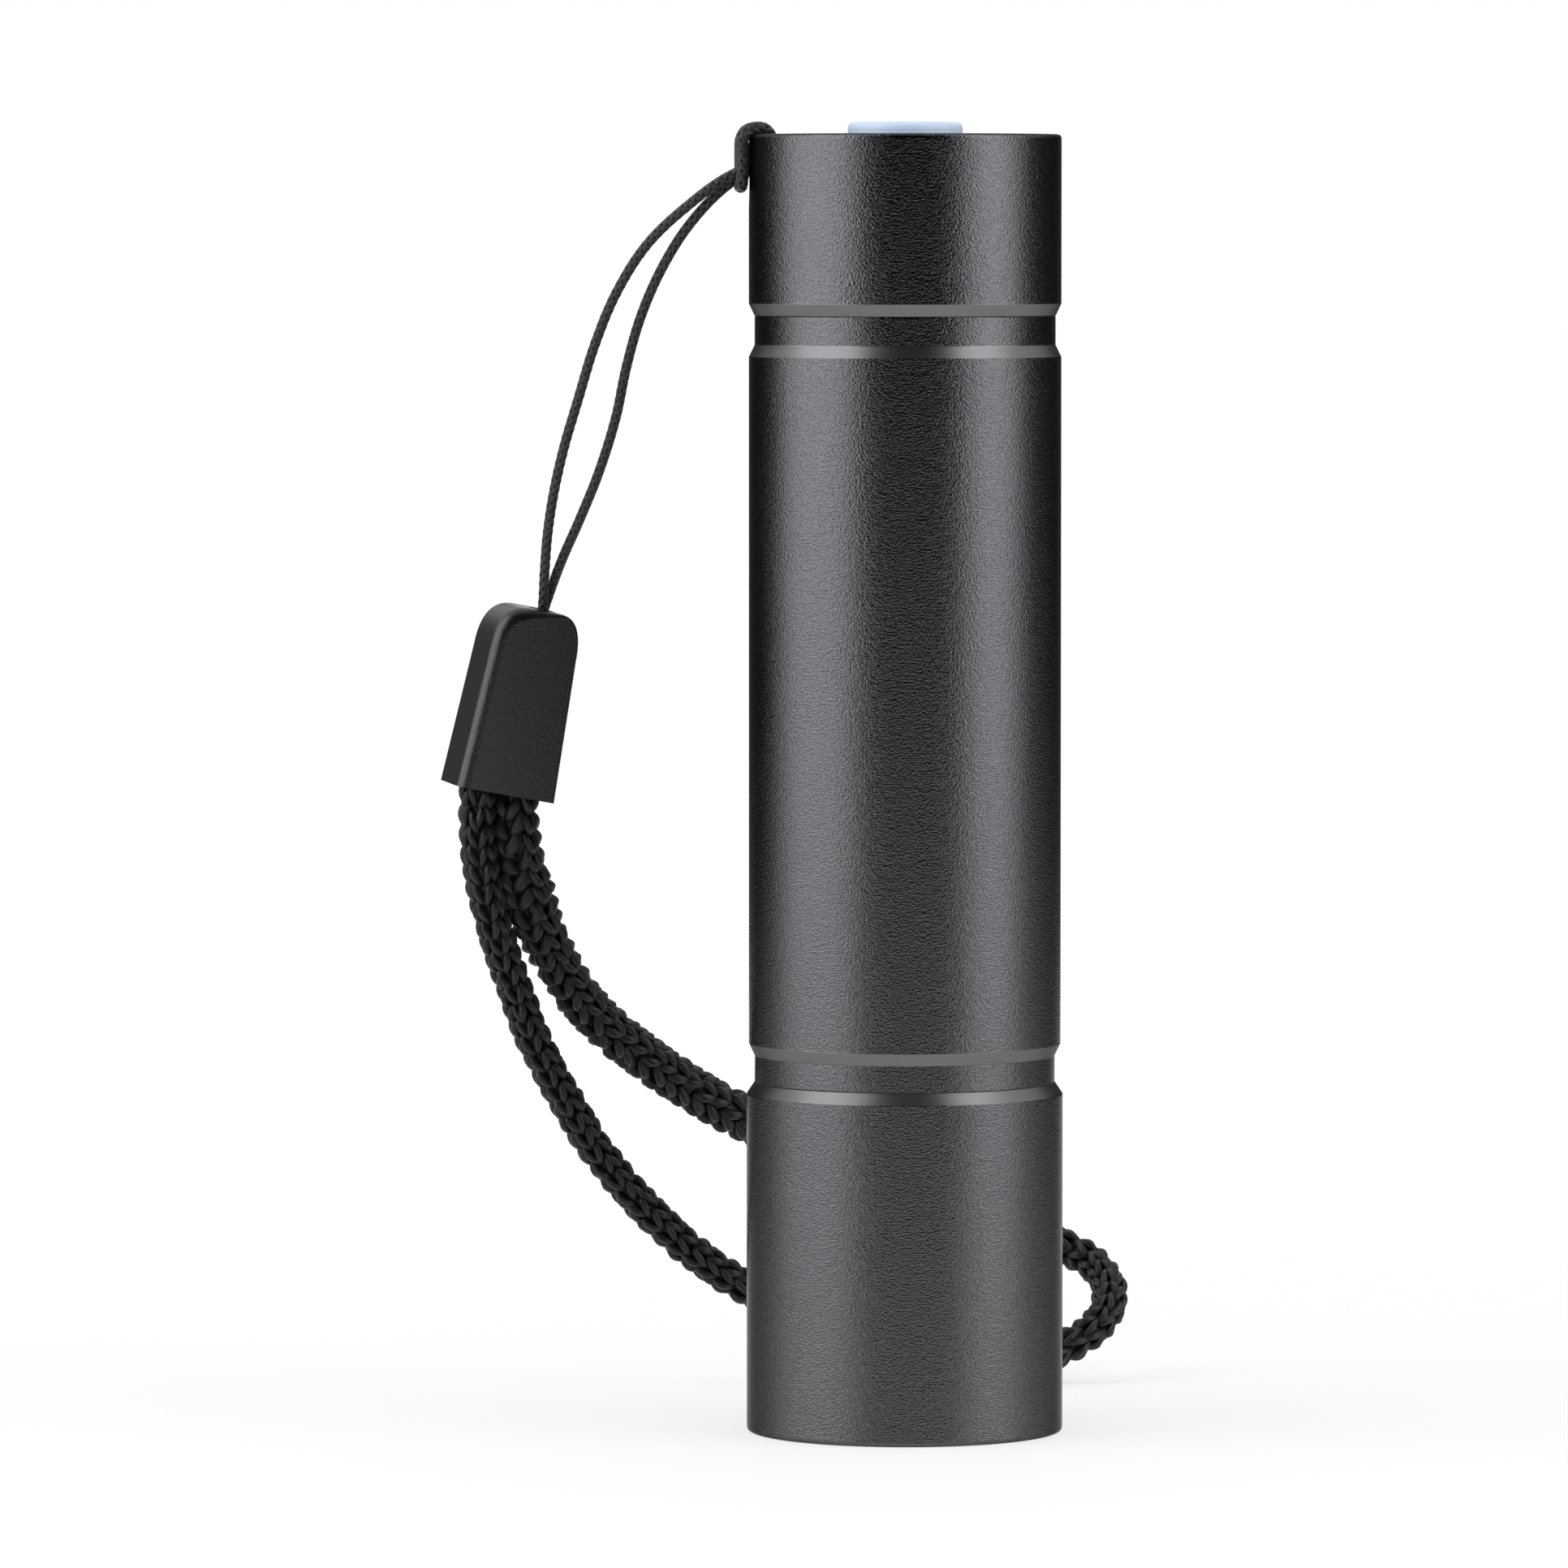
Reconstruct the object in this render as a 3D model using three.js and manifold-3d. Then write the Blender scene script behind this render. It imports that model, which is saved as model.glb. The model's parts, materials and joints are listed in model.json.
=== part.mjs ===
// A slim aluminium torch that stands on its bezel, with a wrist lanyard hitched to its tail cap.
// Sizes are millimetres. The origin is the centre of the bezel face and +Z runs up the torch to its button.
// The lanyard leaves the tail cap at -X, and its wrist loop rests on the ground behind the torch, at +Y.

import * as THREE from 'three';
import { mergeVertices } from 'three/addons/utils/BufferGeometryUtils.js';
import Module from 'manifold-3d';

const wasm = await Module();
wasm.setup();

// Facets
const SHELL_STEPS = 40;
const INNER_STEPS = 32;
const SMALL_STEPS = 20;
const RIM_ARC_STEPS = 3;
const DISH_STEPS = 6;
const DOME_STEPS = 4;
const OUTLINE_STEPS = 4;
const WIDE_OUTLINE_STEPS = 8;
const CLIP_EDGE_STEPS = 2;
const RING_SIDES = 6;
const CORD_SIDES = 8;
const WIRE_SIDES = 5;
const WIRE_STEPS_PER_TURN = 8;
const GAP_SAMPLES_PER_TURN = 32;

// Gaps between pieces
const SEAT_GAP = 0.1;
const RUNNING_GAP = 0.3;
const SLIDING_GAP = 0.2;
const SEAL_GAP = 0.1;

// Lengths along the torch, as seen from outside
const HEAD_LENGTH = 30.2;
const FRONT_GROOVE_WIDTH = 2.6;
const REAR_GROOVE_WIDTH = 2.8;
const TAIL_LENGTH = 15.5;
const EDGE_CHAMFER = 0.9;
const RIM_ROUNDING = 0.4;

// Cells and their cage, which set the bore and the barrel's length
const CELL_DIAMETER = 10.2;
const CELL_LENGTH = 44.5;
const CELL_NUB_DIAMETER = 3.8;
const CELL_NUB_HEIGHT = 0.9;
const CELL_EDGE = 0.4;
const CELL_SPACING = 0.3;
const CELL_COUNT = 3;
const GAPS_PER_BAY = 4;
const CAGE_COVER = 0.14;
const CAGE_PLATE = 2.4;
const CAGE_RIB_DEPTH = 2.7;
const CAGE_RIB_HALF_ANGLE = 16;
const CAGE_CLEARANCE = 0.3;
const CAGE_END_ROOM = 4.0;
const CELL_SPRING_LENGTH = 3.4;
const CELL_SPRING_WIRE = 0.5;
const CELL_SPRING_TURNS = 3;
const CELL_SPRING_BASE = 6.0;
const CELL_SPRING_TIP = 3.4;
const CONTACT_DIAMETER = 6.0;
const CONTACT_THICKNESS = 0.4;
const END_CONTACT_DIAMETER = 8.4;
const END_CONTACT_THICKNESS = 0.6;

// Walls of the three shells
const BARREL_WALL = 1.9;
const GROOVE_DEPTH = 0.5;
const REAR_THREAD_DEPTH = 0.5;
const REAR_THREAD_LENGTH = 7.4;
const FRONT_SPIGOT_STEP = 0.9;
const FRONT_SPIGOT_WALL = 1.7;
const FRONT_SPIGOT_LENGTH = 6.0;
const CAGE_SHOULDER_LENGTH = 8.0;
const HEAD_WALL = 1.3;
const BEZEL_LAND = 1.4;
const BEZEL_LIP = 1.6;
const BEZEL_BEVEL = 0.7;
const TAIL_SPIGOT_LENGTH = 7.0;
const TAIL_SPIGOT_WALL = 2.0;
const TAIL_END_WALL = 2.0;
const SWITCH_SHOULDER = 1.0;
const SWITCH_CAVITY_DEPTH = 11.5;

// Seals
const SEAL_CORD = 1.0;
const SEAL_GROOVE_DEPTH = 0.9;
const SEAL_GROOVE_WIDTH = 1.5;
const SEAL_GROOVE_SETBACK = 1.0;

// Lens stack
const STACK_CLEARANCE = 0.2;
const GASKET_THICKNESS = 0.8;
const GASKET_SETBACK = 0.15;
const LENS_THICKNESS = 1.6;
const LENS_EDGE = 0.2;
const REFLECTOR_WALL = 1.0;
const REFLECTOR_FLANGE_WIDTH = 1.2;
const REFLECTOR_FLANGE_THICKNESS = 1.0;
const EMITTER_HOLE_DIAMETER = 5.8;
const EMITTER_BASE_DIAMETER = 4.8;
const EMITTER_BASE_HEIGHT = 0.8;
const EMITTER_DOME_DIAMETER = 2.6;
const SPACER_DIAMETER = 11.0;
const SPACER_THICKNESS = 1.0;
const STAR_DIAMETER = 20.0;
const STAR_THICKNESS = 1.6;
const STAR_NOTCH_DIAMETER = 3.4;
const STAR_NOTCHES = 6;
const HEAT_SINK_HEIGHT = 5.5;
const HEAT_SINK_DISC = 2.6;
const HEAT_SINK_RIM = 2.7;
const DRIVER_THICKNESS = 1.2;
const DRIVER_LEDGE = 1.1;
const DRIVER_SETBACK = 0.3;
const FRONT_SPRING_WIRE = 0.6;
const FRONT_SPRING_TURNS = 5;
const FRONT_SPRING_BASE = 6.6;
const FRONT_SPRING_TIP = 4.4;

// Tail switch
const BUTTON_DIAMETER = 9.9;
const BUTTON_PROUD = 1.1;
const BUTTON_EDGE = 0.5;
const BUTTON_FLANGE_WIDTH = 1.6;
const BUTTON_FLANGE_THICKNESS = 1.5;
const PLUNGER_DIAMETER = 3.8;
const PLUNGER_ENGAGEMENT = 1.5;
const HOUSING_WIDTH = 8.5;
const HOUSING_HEIGHT = 6.0;
const HOUSING_FLOOR = 1.0;
const SWITCH_SPRING_WIRE = 0.35;
const SWITCH_SPRING_TURNS = 3;
const SWITCH_SPRING_DIAMETER = 2.9;
const SWITCH_BOARD_THICKNESS = 1.2;
const SWITCH_RING_THICKNESS = 1.6;
const SWITCH_RING_WIDTH = 3.0;
const SPANNER_NOTCH_WIDTH = 1.8;
const SPANNER_NOTCH_DEPTH = 0.9;
const TAIL_SPRING_WIRE = 0.8;
const TAIL_SPRING_TURNS = 6;
const TAIL_SPRING_BASE = 9.0;
const TAIL_SPRING_TIP = 5.4;

// Lanyard hole, drilled at a slant from the tail face out through the side
const LANYARD_HOLE_DIAMETER = 2.4;
const LANYARD_HOLE_INSET = 2.4;
const LANYARD_HOLE_DROP = 4.0;
const LANYARD_HOLE_OVERRUN = 3.0;

// Lanyard: its routes and its clip are measured from the centre of the tail face
const STRING_DIAMETER = 0.9;
const WRIST_CORD_DIAMETER = 3.4;
const CLIP_LENGTH = 16.5;
const CLIP_FOOT_WIDTH = 8.6;
const CLIP_TOP_WIDTH = 7.6;
const CLIP_THICKNESS = 5.5;
const CLIP_CORNER = 1.8;
const CLIP_EDGE = 0.5;
const CLIP_MOUTH_DEPTH = 3.2;
const CLIP_LEG_SPACING = 3.8;
const CLIP_STRING_HOLE_DIAMETER = 2.8;
const CLIP_STRING_HOLE_DEPTH = 2.8;
const CLIP_STRING_HOLE_OFFSET = 1.0;
const CLIP_CENTRE = [-34.1, 16.0, -49.6];
const CLIP_LEAN = 6.0;
const CLIP_TILT = 10.3;
const CLIP_ROLL = 20.0;

// The string's route: up the outer strand, through the hole, round the hitch and down the inner strand.
const STRING_ROUTE = [
  [-32.0, 15.1, -43.5], [-31.7, 14.9, -41.5], [-31.5, 14.3, -38.3], [-31.2, 12.9, -34.9],
  [-30.7, 11.6, -31.7], [-29.8, 10.0, -27.7], [-28.5, 8.0, -23.0], [-27.1, 6.0, -18.2], [-25.4, 4.2, -13.9],
  [-22.6, 2.3, -9.4], [-19.0, 0.5, -6.0], [-15.8, -0.4, -3.8], [-14.2, -0.5, -3.1], [-12.9, -0.5, -2.4],
  [-12.1, -0.5, -1.3], [-11.5, -0.6, 0.0], [-11.7, -0.9, 0.7], [-12.5, -1.3, 0.9], [-13.5, -1.55, 0.8],
  [-14.2, -1.6, 0.2], [-14.3, -1.6, -1.1], [-14.3, -1.6, -2.8], [-14.3, -1.6, -3.9], [-14.3, -1.1, -5.0],
  [-14.3, 0.0, -5.4], [-14.3, 1.1, -5.0], [-14.3, 1.6, -3.9], [-14.3, 1.6, -2.8], [-14.3, 1.6, -1.1],
  [-14.2, 1.6, 0.2], [-13.5, 1.55, 0.8], [-12.5, 1.3, 0.9], [-11.7, 0.9, 0.7], [-11.5, 0.6, 0.0],
  [-12.1, 0.5, -1.4], [-12.9, 0.5, -2.7], [-14.1, 0.5, -3.7], [-15.6, 0.6, -4.7], [-18.8, 1.7, -8.0],
  [-21.1, 3.2, -11.7], [-22.9, 5.0, -15.8], [-24.2, 6.8, -20.3], [-25.1, 8.7, -24.5], [-26.6, 10.6, -29.3],
  [-28.6, 12.7, -33.7], [-30.3, 14.4, -37.3], [-31.5, 15.8, -40.5], [-31.8, 16.1, -42.0],
  [-32.1, 16.3, -43.7],
];

// The wrist cord's route: down the outer leg, round the loop's end on the ground and back up the inner leg.
const WRIST_ROUTE = [
  [-37.0, 15.9, -55.2], [-37.4, 16.2, -57.5], [-37.5, 16.8, -60.6], [-37.1, 18.0, -65.2],
  [-36.0, 19.8, -70.3], [-34.4, 22.0, -75.4], [-32.6, 24.2, -80.5], [-30.2, 26.5, -85.4],
  [-27.5, 28.7, -90.1], [-24.5, 30.5, -94.1], [-21.2, 32.0, -97.7], [-17.5, 33.3, -101.0],
  [-12.5, 34.5, -104.2], [-7.0, 35.4, -106.9], [-1.5, 35.9, -109.0], [4.0, 36.0, -110.2],
  [8.5, 36.0, -110.4], [12.2, 36.1, -109.9], [15.2, 36.7, -108.9], [17.5, 38.2, -107.6],
  [18.8, 40.3, -106.0], [19.1, 42.4, -104.6], [18.6, 44.6, -103.3], [17.2, 46.5, -102.1],
  [14.8, 47.8, -100.9], [11.0, 48.0, -99.2], [6.0, 47.2, -97.2], [0.0, 45.3, -94.8], [-6.0, 43.0, -92.2],
  [-11.0, 41.0, -89.9], [-15.5, 38.4, -87.5], [-19.5, 35.6, -84.9], [-23.5, 32.4, -81.8],
  [-27.2, 28.9, -78.3], [-30.2, 25.2, -73.8], [-32.2, 22.0, -69.0], [-33.2, 19.8, -64.7],
  [-33.7, 18.3, -61.0], [-33.8, 17.6, -57.9], [-33.4, 17.3, -55.6],
];

// Radii, worked outwards from the cells
const cellRadius = CELL_DIAMETER / 2;
const cellCircle = (cellRadius + CELL_SPACING / 2) / Math.sin(Math.PI / CELL_COUNT);
const cageRadius = cellCircle + cellRadius + CAGE_COVER;
const boreRadius = cageRadius + CAGE_CLEARANCE;
const bodyRadius = boreRadius + BARREL_WALL;
const neckRadius = bodyRadius - GROOVE_DEPTH;
const rearThreadRadius = boreRadius + REAR_THREAD_DEPTH;
const frontSpigotRadius = neckRadius - FRONT_SPIGOT_STEP;
const frontBoreRadius = frontSpigotRadius - FRONT_SPIGOT_WALL;
const headBoreRadius = frontSpigotRadius + RUNNING_GAP;
const headRadius = headBoreRadius + HEAD_WALL;
const bezelRadius = headBoreRadius - BEZEL_LAND;
const stackRadius = headBoreRadius - STACK_CLEARANCE;
const tailSpigotRadius = rearThreadRadius - RUNNING_GAP;
const tailBoreRadius = tailSpigotRadius - TAIL_SPIGOT_WALL;
const switchBoreRadius = tailBoreRadius - SWITCH_SHOULDER;
const buttonRadius = BUTTON_DIAMETER / 2;

// Heights, worked up from the bezel: the cells carry the tail, so the barrel is as long as they need
const gripBottom = HEAD_LENGTH + FRONT_GROOVE_WIDTH;
const frontSpigotEnd = HEAD_LENGTH - FRONT_SPIGOT_LENGTH;
const cageShoulder = frontSpigotEnd + CAGE_SHOULDER_LENGTH;
const cageBottom = cageShoulder + SEAT_GAP;
const bayBottom = cageBottom + CAGE_PLATE;
const bayLength = CELL_SPRING_LENGTH + CELL_LENGTH + CONTACT_THICKNESS + GAPS_PER_BAY * SEAT_GAP;
const bayTop = bayBottom + bayLength;
const cageTop = bayTop + CAGE_PLATE;
const frontContactBottom = cageBottom - SEAT_GAP - END_CONTACT_THICKNESS;
const rearContactTop = cageTop + SEAT_GAP + END_CONTACT_THICKNESS;
const tailSpigotEnd = cageTop + CAGE_END_ROOM;
const neckTop = tailSpigotEnd + TAIL_SPIGOT_LENGTH;
const gripTop = neckTop - REAR_GROOVE_WIDTH;
const tailFace = neckTop + TAIL_LENGTH;

// The lens stack, between the bezel lip and the barrel's end: the reflector takes the room that is left
const gasketBottom = BEZEL_LIP + SEAT_GAP;
const lensBottom = gasketBottom + GASKET_THICKNESS + SEAT_GAP;
const reflectorBottom = lensBottom + LENS_THICKNESS + SEAT_GAP;
const heatSinkTop = frontSpigotEnd - SEAT_GAP;
const heatSinkBottom = heatSinkTop - HEAT_SINK_HEIGHT;
const starBottom = heatSinkBottom - SEAT_GAP - STAR_THICKNESS;
const spacerBottom = starBottom - SEAT_GAP - SPACER_THICKNESS;
const reflectorTop = spacerBottom - SEAT_GAP;
const reflectorDepth = reflectorTop - reflectorBottom;
const driverTop = heatSinkTop - DRIVER_SETBACK;
const driverBottom = driverTop - DRIVER_THICKNESS;

// The tail switch, between the tail's end wall and the battery cage
const switchCeiling = tailFace - TAIL_END_WALL;
const switchSeat = switchCeiling - SWITCH_CAVITY_DEPTH;
const switchBoardBottom = switchSeat - SEAT_GAP - SWITCH_BOARD_THICKNESS;
const switchRingTop = switchBoardBottom - SEAT_GAP;
const housingBottom = switchSeat;
const housingTop = housingBottom + HOUSING_HEIGHT;
const flangeTop = switchCeiling - SEAT_GAP;
const flangeBottom = flangeTop - BUTTON_FLANGE_THICKNESS;
const plungerTop = flangeBottom - SEAT_GAP;
const plungerBottom = housingTop - PLUNGER_ENGAGEMENT;

// Finishes
const anodised = { color: 0x2b2a2e, roughness: 0.42, metalness: 0.9 };
const bareAluminium = { color: 0xb9bcc0, roughness: 0.35, metalness: 1.0 };
const mirrored = { color: 0xe6e8ea, roughness: 0.06, metalness: 1.0 };
const clearPlastic = { color: 0xf2f6f7, roughness: 0.04, metalness: 0.0, transparent: true, opacity: 0.35 };
const rubber = { color: 0x161616, roughness: 0.75, metalness: 0.0 };
const whitePlastic = { color: 0xe9e7e1, roughness: 0.5, metalness: 0.0 };
const cagePlastic = { color: 0x1d1d1f, roughness: 0.55, metalness: 0.0 };
const board = { color: 0x1f5a35, roughness: 0.5, metalness: 0.0 };
const emitterYellow = { color: 0xe8d46a, roughness: 0.2, metalness: 0.0 };
const springSteel = { color: 0xc4c6c8, roughness: 0.25, metalness: 1.0 };
const brass = { color: 0xc9a654, roughness: 0.3, metalness: 1.0 };
const cellWrap = { color: 0x7d8288, roughness: 0.4, metalness: 0.3 };
const paleBlue = { color: 0xbed0e7, roughness: 0.4, metalness: 0.0 };
const clipPlastic = { color: 0x2d2d2f, roughness: 0.55, metalness: 0.0 };
const cordBlack = { color: 0x1e1e20, roughness: 0.9, metalness: 0.0 };

const torch = new THREE.Group();

function place(group, name, geometry, finish) {
  const mesh = new THREE.Mesh(geometry, new THREE.MeshStandardMaterial(finish));
  mesh.name = name;
  group.add(mesh);
}

// Turned pieces: a profile of [radius, height] pairs, listed anticlockwise, is closed and turned about Z.
function turned(profile, steps) {
  const points = [...profile, profile[0]].map(([radius, height]) => new THREE.Vector2(radius, height));
  return new THREE.LatheGeometry(points, steps).rotateX(Math.PI / 2);
}

function disc(radius, bottom, top, steps) {
  return turned([[0, bottom], [radius, bottom], [radius, top], [0, top]], steps);
}

function ring(inner, outer, bottom, top, steps) {
  return turned([[inner, bottom], [outer, bottom], [outer, top], [inner, top]], steps);
}

function arc(radius, height, size, fromDegrees, toDegrees, steps) {
  return Array.from({ length: steps + 1 }, (_, i) => {
    const angle = THREE.MathUtils.degToRad(THREE.MathUtils.lerp(fromDegrees, toDegrees, i / steps));
    return [radius + size * Math.cos(angle), height + size * Math.sin(angle)];
  });
}

function sealRing(middleRadius, height) {
  const section = arc(middleRadius, height, SEAL_CORD / 2, 0, 360, RING_SIDES);
  return turned(section.slice(0, -1), SHELL_STEPS);
}

// Solids for cuts and joins
function toSolid(geometry) {
  const bare = new THREE.BufferGeometry();
  bare.setAttribute('position', geometry.getAttribute('position'));
  bare.setIndex(geometry.getIndex());
  const merged = mergeVertices(bare);
  const index = merged.getIndex().array;
  const triangles = [];
  for (let i = 0; i < index.length; i += 3) {
    const [a, b, c] = index.slice(i, i + 3);
    if (a !== b && b !== c && c !== a) triangles.push(a, b, c);
  }
  return new wasm.Manifold(new wasm.Mesh({
    numProp: 3,
    vertProperties: new Float32Array(merged.getAttribute('position').array),
    triVerts: new Uint32Array(triangles),
  }));
}

function toGeometry(solid) {
  const mesh = solid.getMesh();
  const geometry = new THREE.BufferGeometry();
  geometry.setAttribute('position', new THREE.BufferAttribute(mesh.vertProperties, 3));
  geometry.setIndex(new THREE.BufferAttribute(mesh.triVerts, 1));
  return geometry;
}

function cut(geometry, ...tools) {
  return toGeometry(tools.reduce((solid, tool) => solid.subtract(toSolid(tool)), toSolid(geometry)));
}

function joined(geometry, ...others) {
  return toGeometry(others.reduce((solid, other) => solid.add(toSolid(other)), toSolid(geometry)));
}

// Cords and coils
function roundSection(diameter, sides) {
  const points = arc(0, 0, diameter / 2, 0, 360, sides).slice(0, -1);
  return new THREE.Shape(points.map(([x, y]) => new THREE.Vector2(x, y)));
}

// A curve whose steps fall on the route's own points, so that tight bends get as many as long runs.
class Route extends THREE.CatmullRomCurve3 {
  constructor(route) {
    super(route.map((point) => new THREE.Vector3(...point)));
  }

  getUtoTmapping(u) {
    return u;
  }
}

function cord(route, diameter) {
  return new THREE.ExtrudeGeometry(roundSection(diameter, CORD_SIDES), {
    steps: route.length - 1,
    extrudePath: new Route(route),
  });
}

class Coil extends THREE.Curve {
  constructor(bottomRadius, topRadius, bottom, top, turns) {
    super();
    Object.assign(this, { bottomRadius, topRadius, bottom, top, turns });
  }

  getPoint(t, target = new THREE.Vector3()) {
    const angle = 2 * Math.PI * this.turns * t;
    const radius = THREE.MathUtils.lerp(this.bottomRadius, this.topRadius, t);
    const height = THREE.MathUtils.lerp(this.bottom, this.top, t);
    return target.set(radius * Math.cos(angle), radius * Math.sin(angle), height);
  }

  getUtoTmapping(u) {
    return u;
  }
}

// The least clear space between turns, measured on points at least half a turn apart.
function leastGap(coil, wire) {
  const points = coil.getPoints(GAP_SAMPLES_PER_TURN * coil.turns);
  let least = Infinity;
  points.forEach((here, i) => {
    points.slice(i + GAP_SAMPLES_PER_TURN / 2).forEach((there) => {
      least = Math.min(least, here.distanceTo(there));
    });
  });
  return least - wire;
}

// A coil spring whose wire stays between two heights and two diameters measured over the wire.
function coilSpring(name, wire, turns, bottomDiameter, topDiameter, bottom, top) {
  const bottomRadius = (bottomDiameter - wire) / 2;
  const topRadius = (topDiameter - wire) / 2;
  const coil = new Coil(bottomRadius, topRadius, bottom + wire / 2, top - wire / 2, turns);
  console.log(`${name}: least gap between turns ${leastGap(coil, wire).toFixed(2)} mm`);
  return new THREE.ExtrudeGeometry(roundSection(wire, WIRE_SIDES), {
    steps: turns * WIRE_STEPS_PER_TURN,
    extrudePath: coil,
  });
}

// Head: the shell with its bezel lip, and the lens stack that the barrel clamps against that lip
function headShell() {
  return turned([
    [bezelRadius, BEZEL_BEVEL],
    [bezelRadius + BEZEL_BEVEL, 0],
    ...arc(headRadius - RIM_ROUNDING, RIM_ROUNDING, RIM_ROUNDING, -90, 0, RIM_ARC_STEPS),
    [headRadius, HEAD_LENGTH - EDGE_CHAMFER],
    [neckRadius, HEAD_LENGTH],
    [headBoreRadius, HEAD_LENGTH],
    [headBoreRadius, BEZEL_LIP],
    [bezelRadius, BEZEL_LIP],
  ], SHELL_STEPS);
}

function lens() {
  const top = lensBottom + LENS_THICKNESS;
  return turned([
    [0, lensBottom],
    [stackRadius - LENS_EDGE, lensBottom],
    [stackRadius, lensBottom + LENS_EDGE],
    [stackRadius, top],
    [0, top],
  ], INNER_STEPS);
}

// The dish is a paraboloid: its radius squared grows evenly from the emitter hole to the mouth.
function reflector() {
  const holeRadius = EMITTER_HOLE_DIAMETER / 2;
  const mouthRadius = stackRadius - REFLECTOR_FLANGE_WIDTH;
  const flangeTop = reflectorBottom + REFLECTOR_FLANGE_THICKNESS;
  const dishRadius = (height) => {
    const share = (reflectorTop - height) / reflectorDepth;
    return Math.sqrt(THREE.MathUtils.lerp(holeRadius ** 2, mouthRadius ** 2, share));
  };
  const heights = (from, to) => Array.from(
    { length: DISH_STEPS + 1 },
    (_, i) => THREE.MathUtils.lerp(from, to, i / DISH_STEPS),
  );
  return turned([
    [stackRadius, reflectorBottom],
    [stackRadius, flangeTop],
    ...heights(flangeTop, reflectorTop).map((height) => [dishRadius(height) + REFLECTOR_WALL, height]),
    ...heights(reflectorTop, reflectorBottom).map((height) => [dishRadius(height), height]),
  ], INNER_STEPS);
}

function emitter() {
  const top = starBottom - SEAT_GAP;
  const baseBottom = top - EMITTER_BASE_HEIGHT;
  return turned([
    ...arc(0, baseBottom, EMITTER_DOME_DIAMETER / 2, -90, 0, DOME_STEPS),
    [EMITTER_BASE_DIAMETER / 2, baseBottom],
    [EMITTER_BASE_DIAMETER / 2, top],
    [0, top],
  ], SMALL_STEPS);
}

// The star board: a disc with a screw notch at each corner of a hexagon.
function starBoard() {
  const radius = STAR_DIAMETER / 2;
  const notchRadius = STAR_NOTCH_DIAMETER / 2;
  const halfNotch = Math.asin(notchRadius / radius);
  const outline = new THREE.Shape();
  for (let i = 0; i < STAR_NOTCHES; i += 1) {
    const middle = (2 * Math.PI * i) / STAR_NOTCHES;
    const next = (2 * Math.PI * (i + 1)) / STAR_NOTCHES;
    const notchCentre = radius * Math.cos(halfNotch);
    outline.absarc(
      notchCentre * Math.cos(middle), notchCentre * Math.sin(middle),
      notchRadius, middle - Math.PI / 2, middle + Math.PI / 2, true,
    );
    outline.absarc(0, 0, radius, middle + halfNotch, next - halfNotch, false);
  }
  const options = { depth: STAR_THICKNESS, bevelEnabled: false, curveSegments: OUTLINE_STEPS };
  return new THREE.ExtrudeGeometry(outline, options).translate(0, 0, starBottom);
}

function heatSink() {
  const pocketRadius = stackRadius - HEAT_SINK_RIM;
  const componentRadius = pocketRadius - DRIVER_LEDGE;
  const ledge = driverBottom - SEAT_GAP;
  const floor = heatSinkBottom + HEAT_SINK_DISC;
  return turned([
    [0, heatSinkBottom],
    [stackRadius, heatSinkBottom],
    [stackRadius, heatSinkTop],
    [pocketRadius, heatSinkTop],
    [pocketRadius, ledge],
    [componentRadius, ledge],
    [componentRadius, floor],
    [0, floor],
  ], INNER_STEPS);
}

const head = new THREE.Group();
torch.add(head);
place(head, 'head_shell', headShell(), anodised);
place(head, 'lens_gasket', ring(
  bezelRadius + GASKET_SETBACK, stackRadius, gasketBottom, gasketBottom + GASKET_THICKNESS, INNER_STEPS,
), rubber);
place(head, 'lens', lens(), clearPlastic);
place(head, 'reflector', reflector(), mirrored);
place(head, 'led_spacer', ring(
  EMITTER_HOLE_DIAMETER / 2, SPACER_DIAMETER / 2, spacerBottom, spacerBottom + SPACER_THICKNESS, SMALL_STEPS,
), whitePlastic);
place(head, 'led_emitter', emitter(), emitterYellow);
place(head, 'led_board', starBoard(), whitePlastic);
place(head, 'heat_sink', heatSink(), bareAluminium);
place(head, 'driver_board', disc(
  stackRadius - HEAT_SINK_RIM - SLIDING_GAP, driverBottom, driverTop, INNER_STEPS,
), board);
place(head, 'front_contact_spring', coilSpring(
  'front_contact_spring', FRONT_SPRING_WIRE, FRONT_SPRING_TURNS, FRONT_SPRING_BASE, FRONT_SPRING_TIP,
  driverTop + SEAT_GAP, frontContactBottom - SEAT_GAP,
), springSteel);

// Barrel: a tube with a male spigot in the head, a shoulder that stops the cage and a threaded rear mouth
function sealGroove(spigotRadius, bottom) {
  const floor = spigotRadius - SEAL_GROOVE_DEPTH;
  const top = bottom + SEAL_GROOVE_WIDTH;
  return [[spigotRadius, bottom], [floor, bottom], [floor, top], [spigotRadius, top]];
}

function sealMiddle(spigotRadius) {
  return spigotRadius - SEAL_GROOVE_DEPTH + SEAL_GAP + SEAL_CORD / 2;
}

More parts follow.
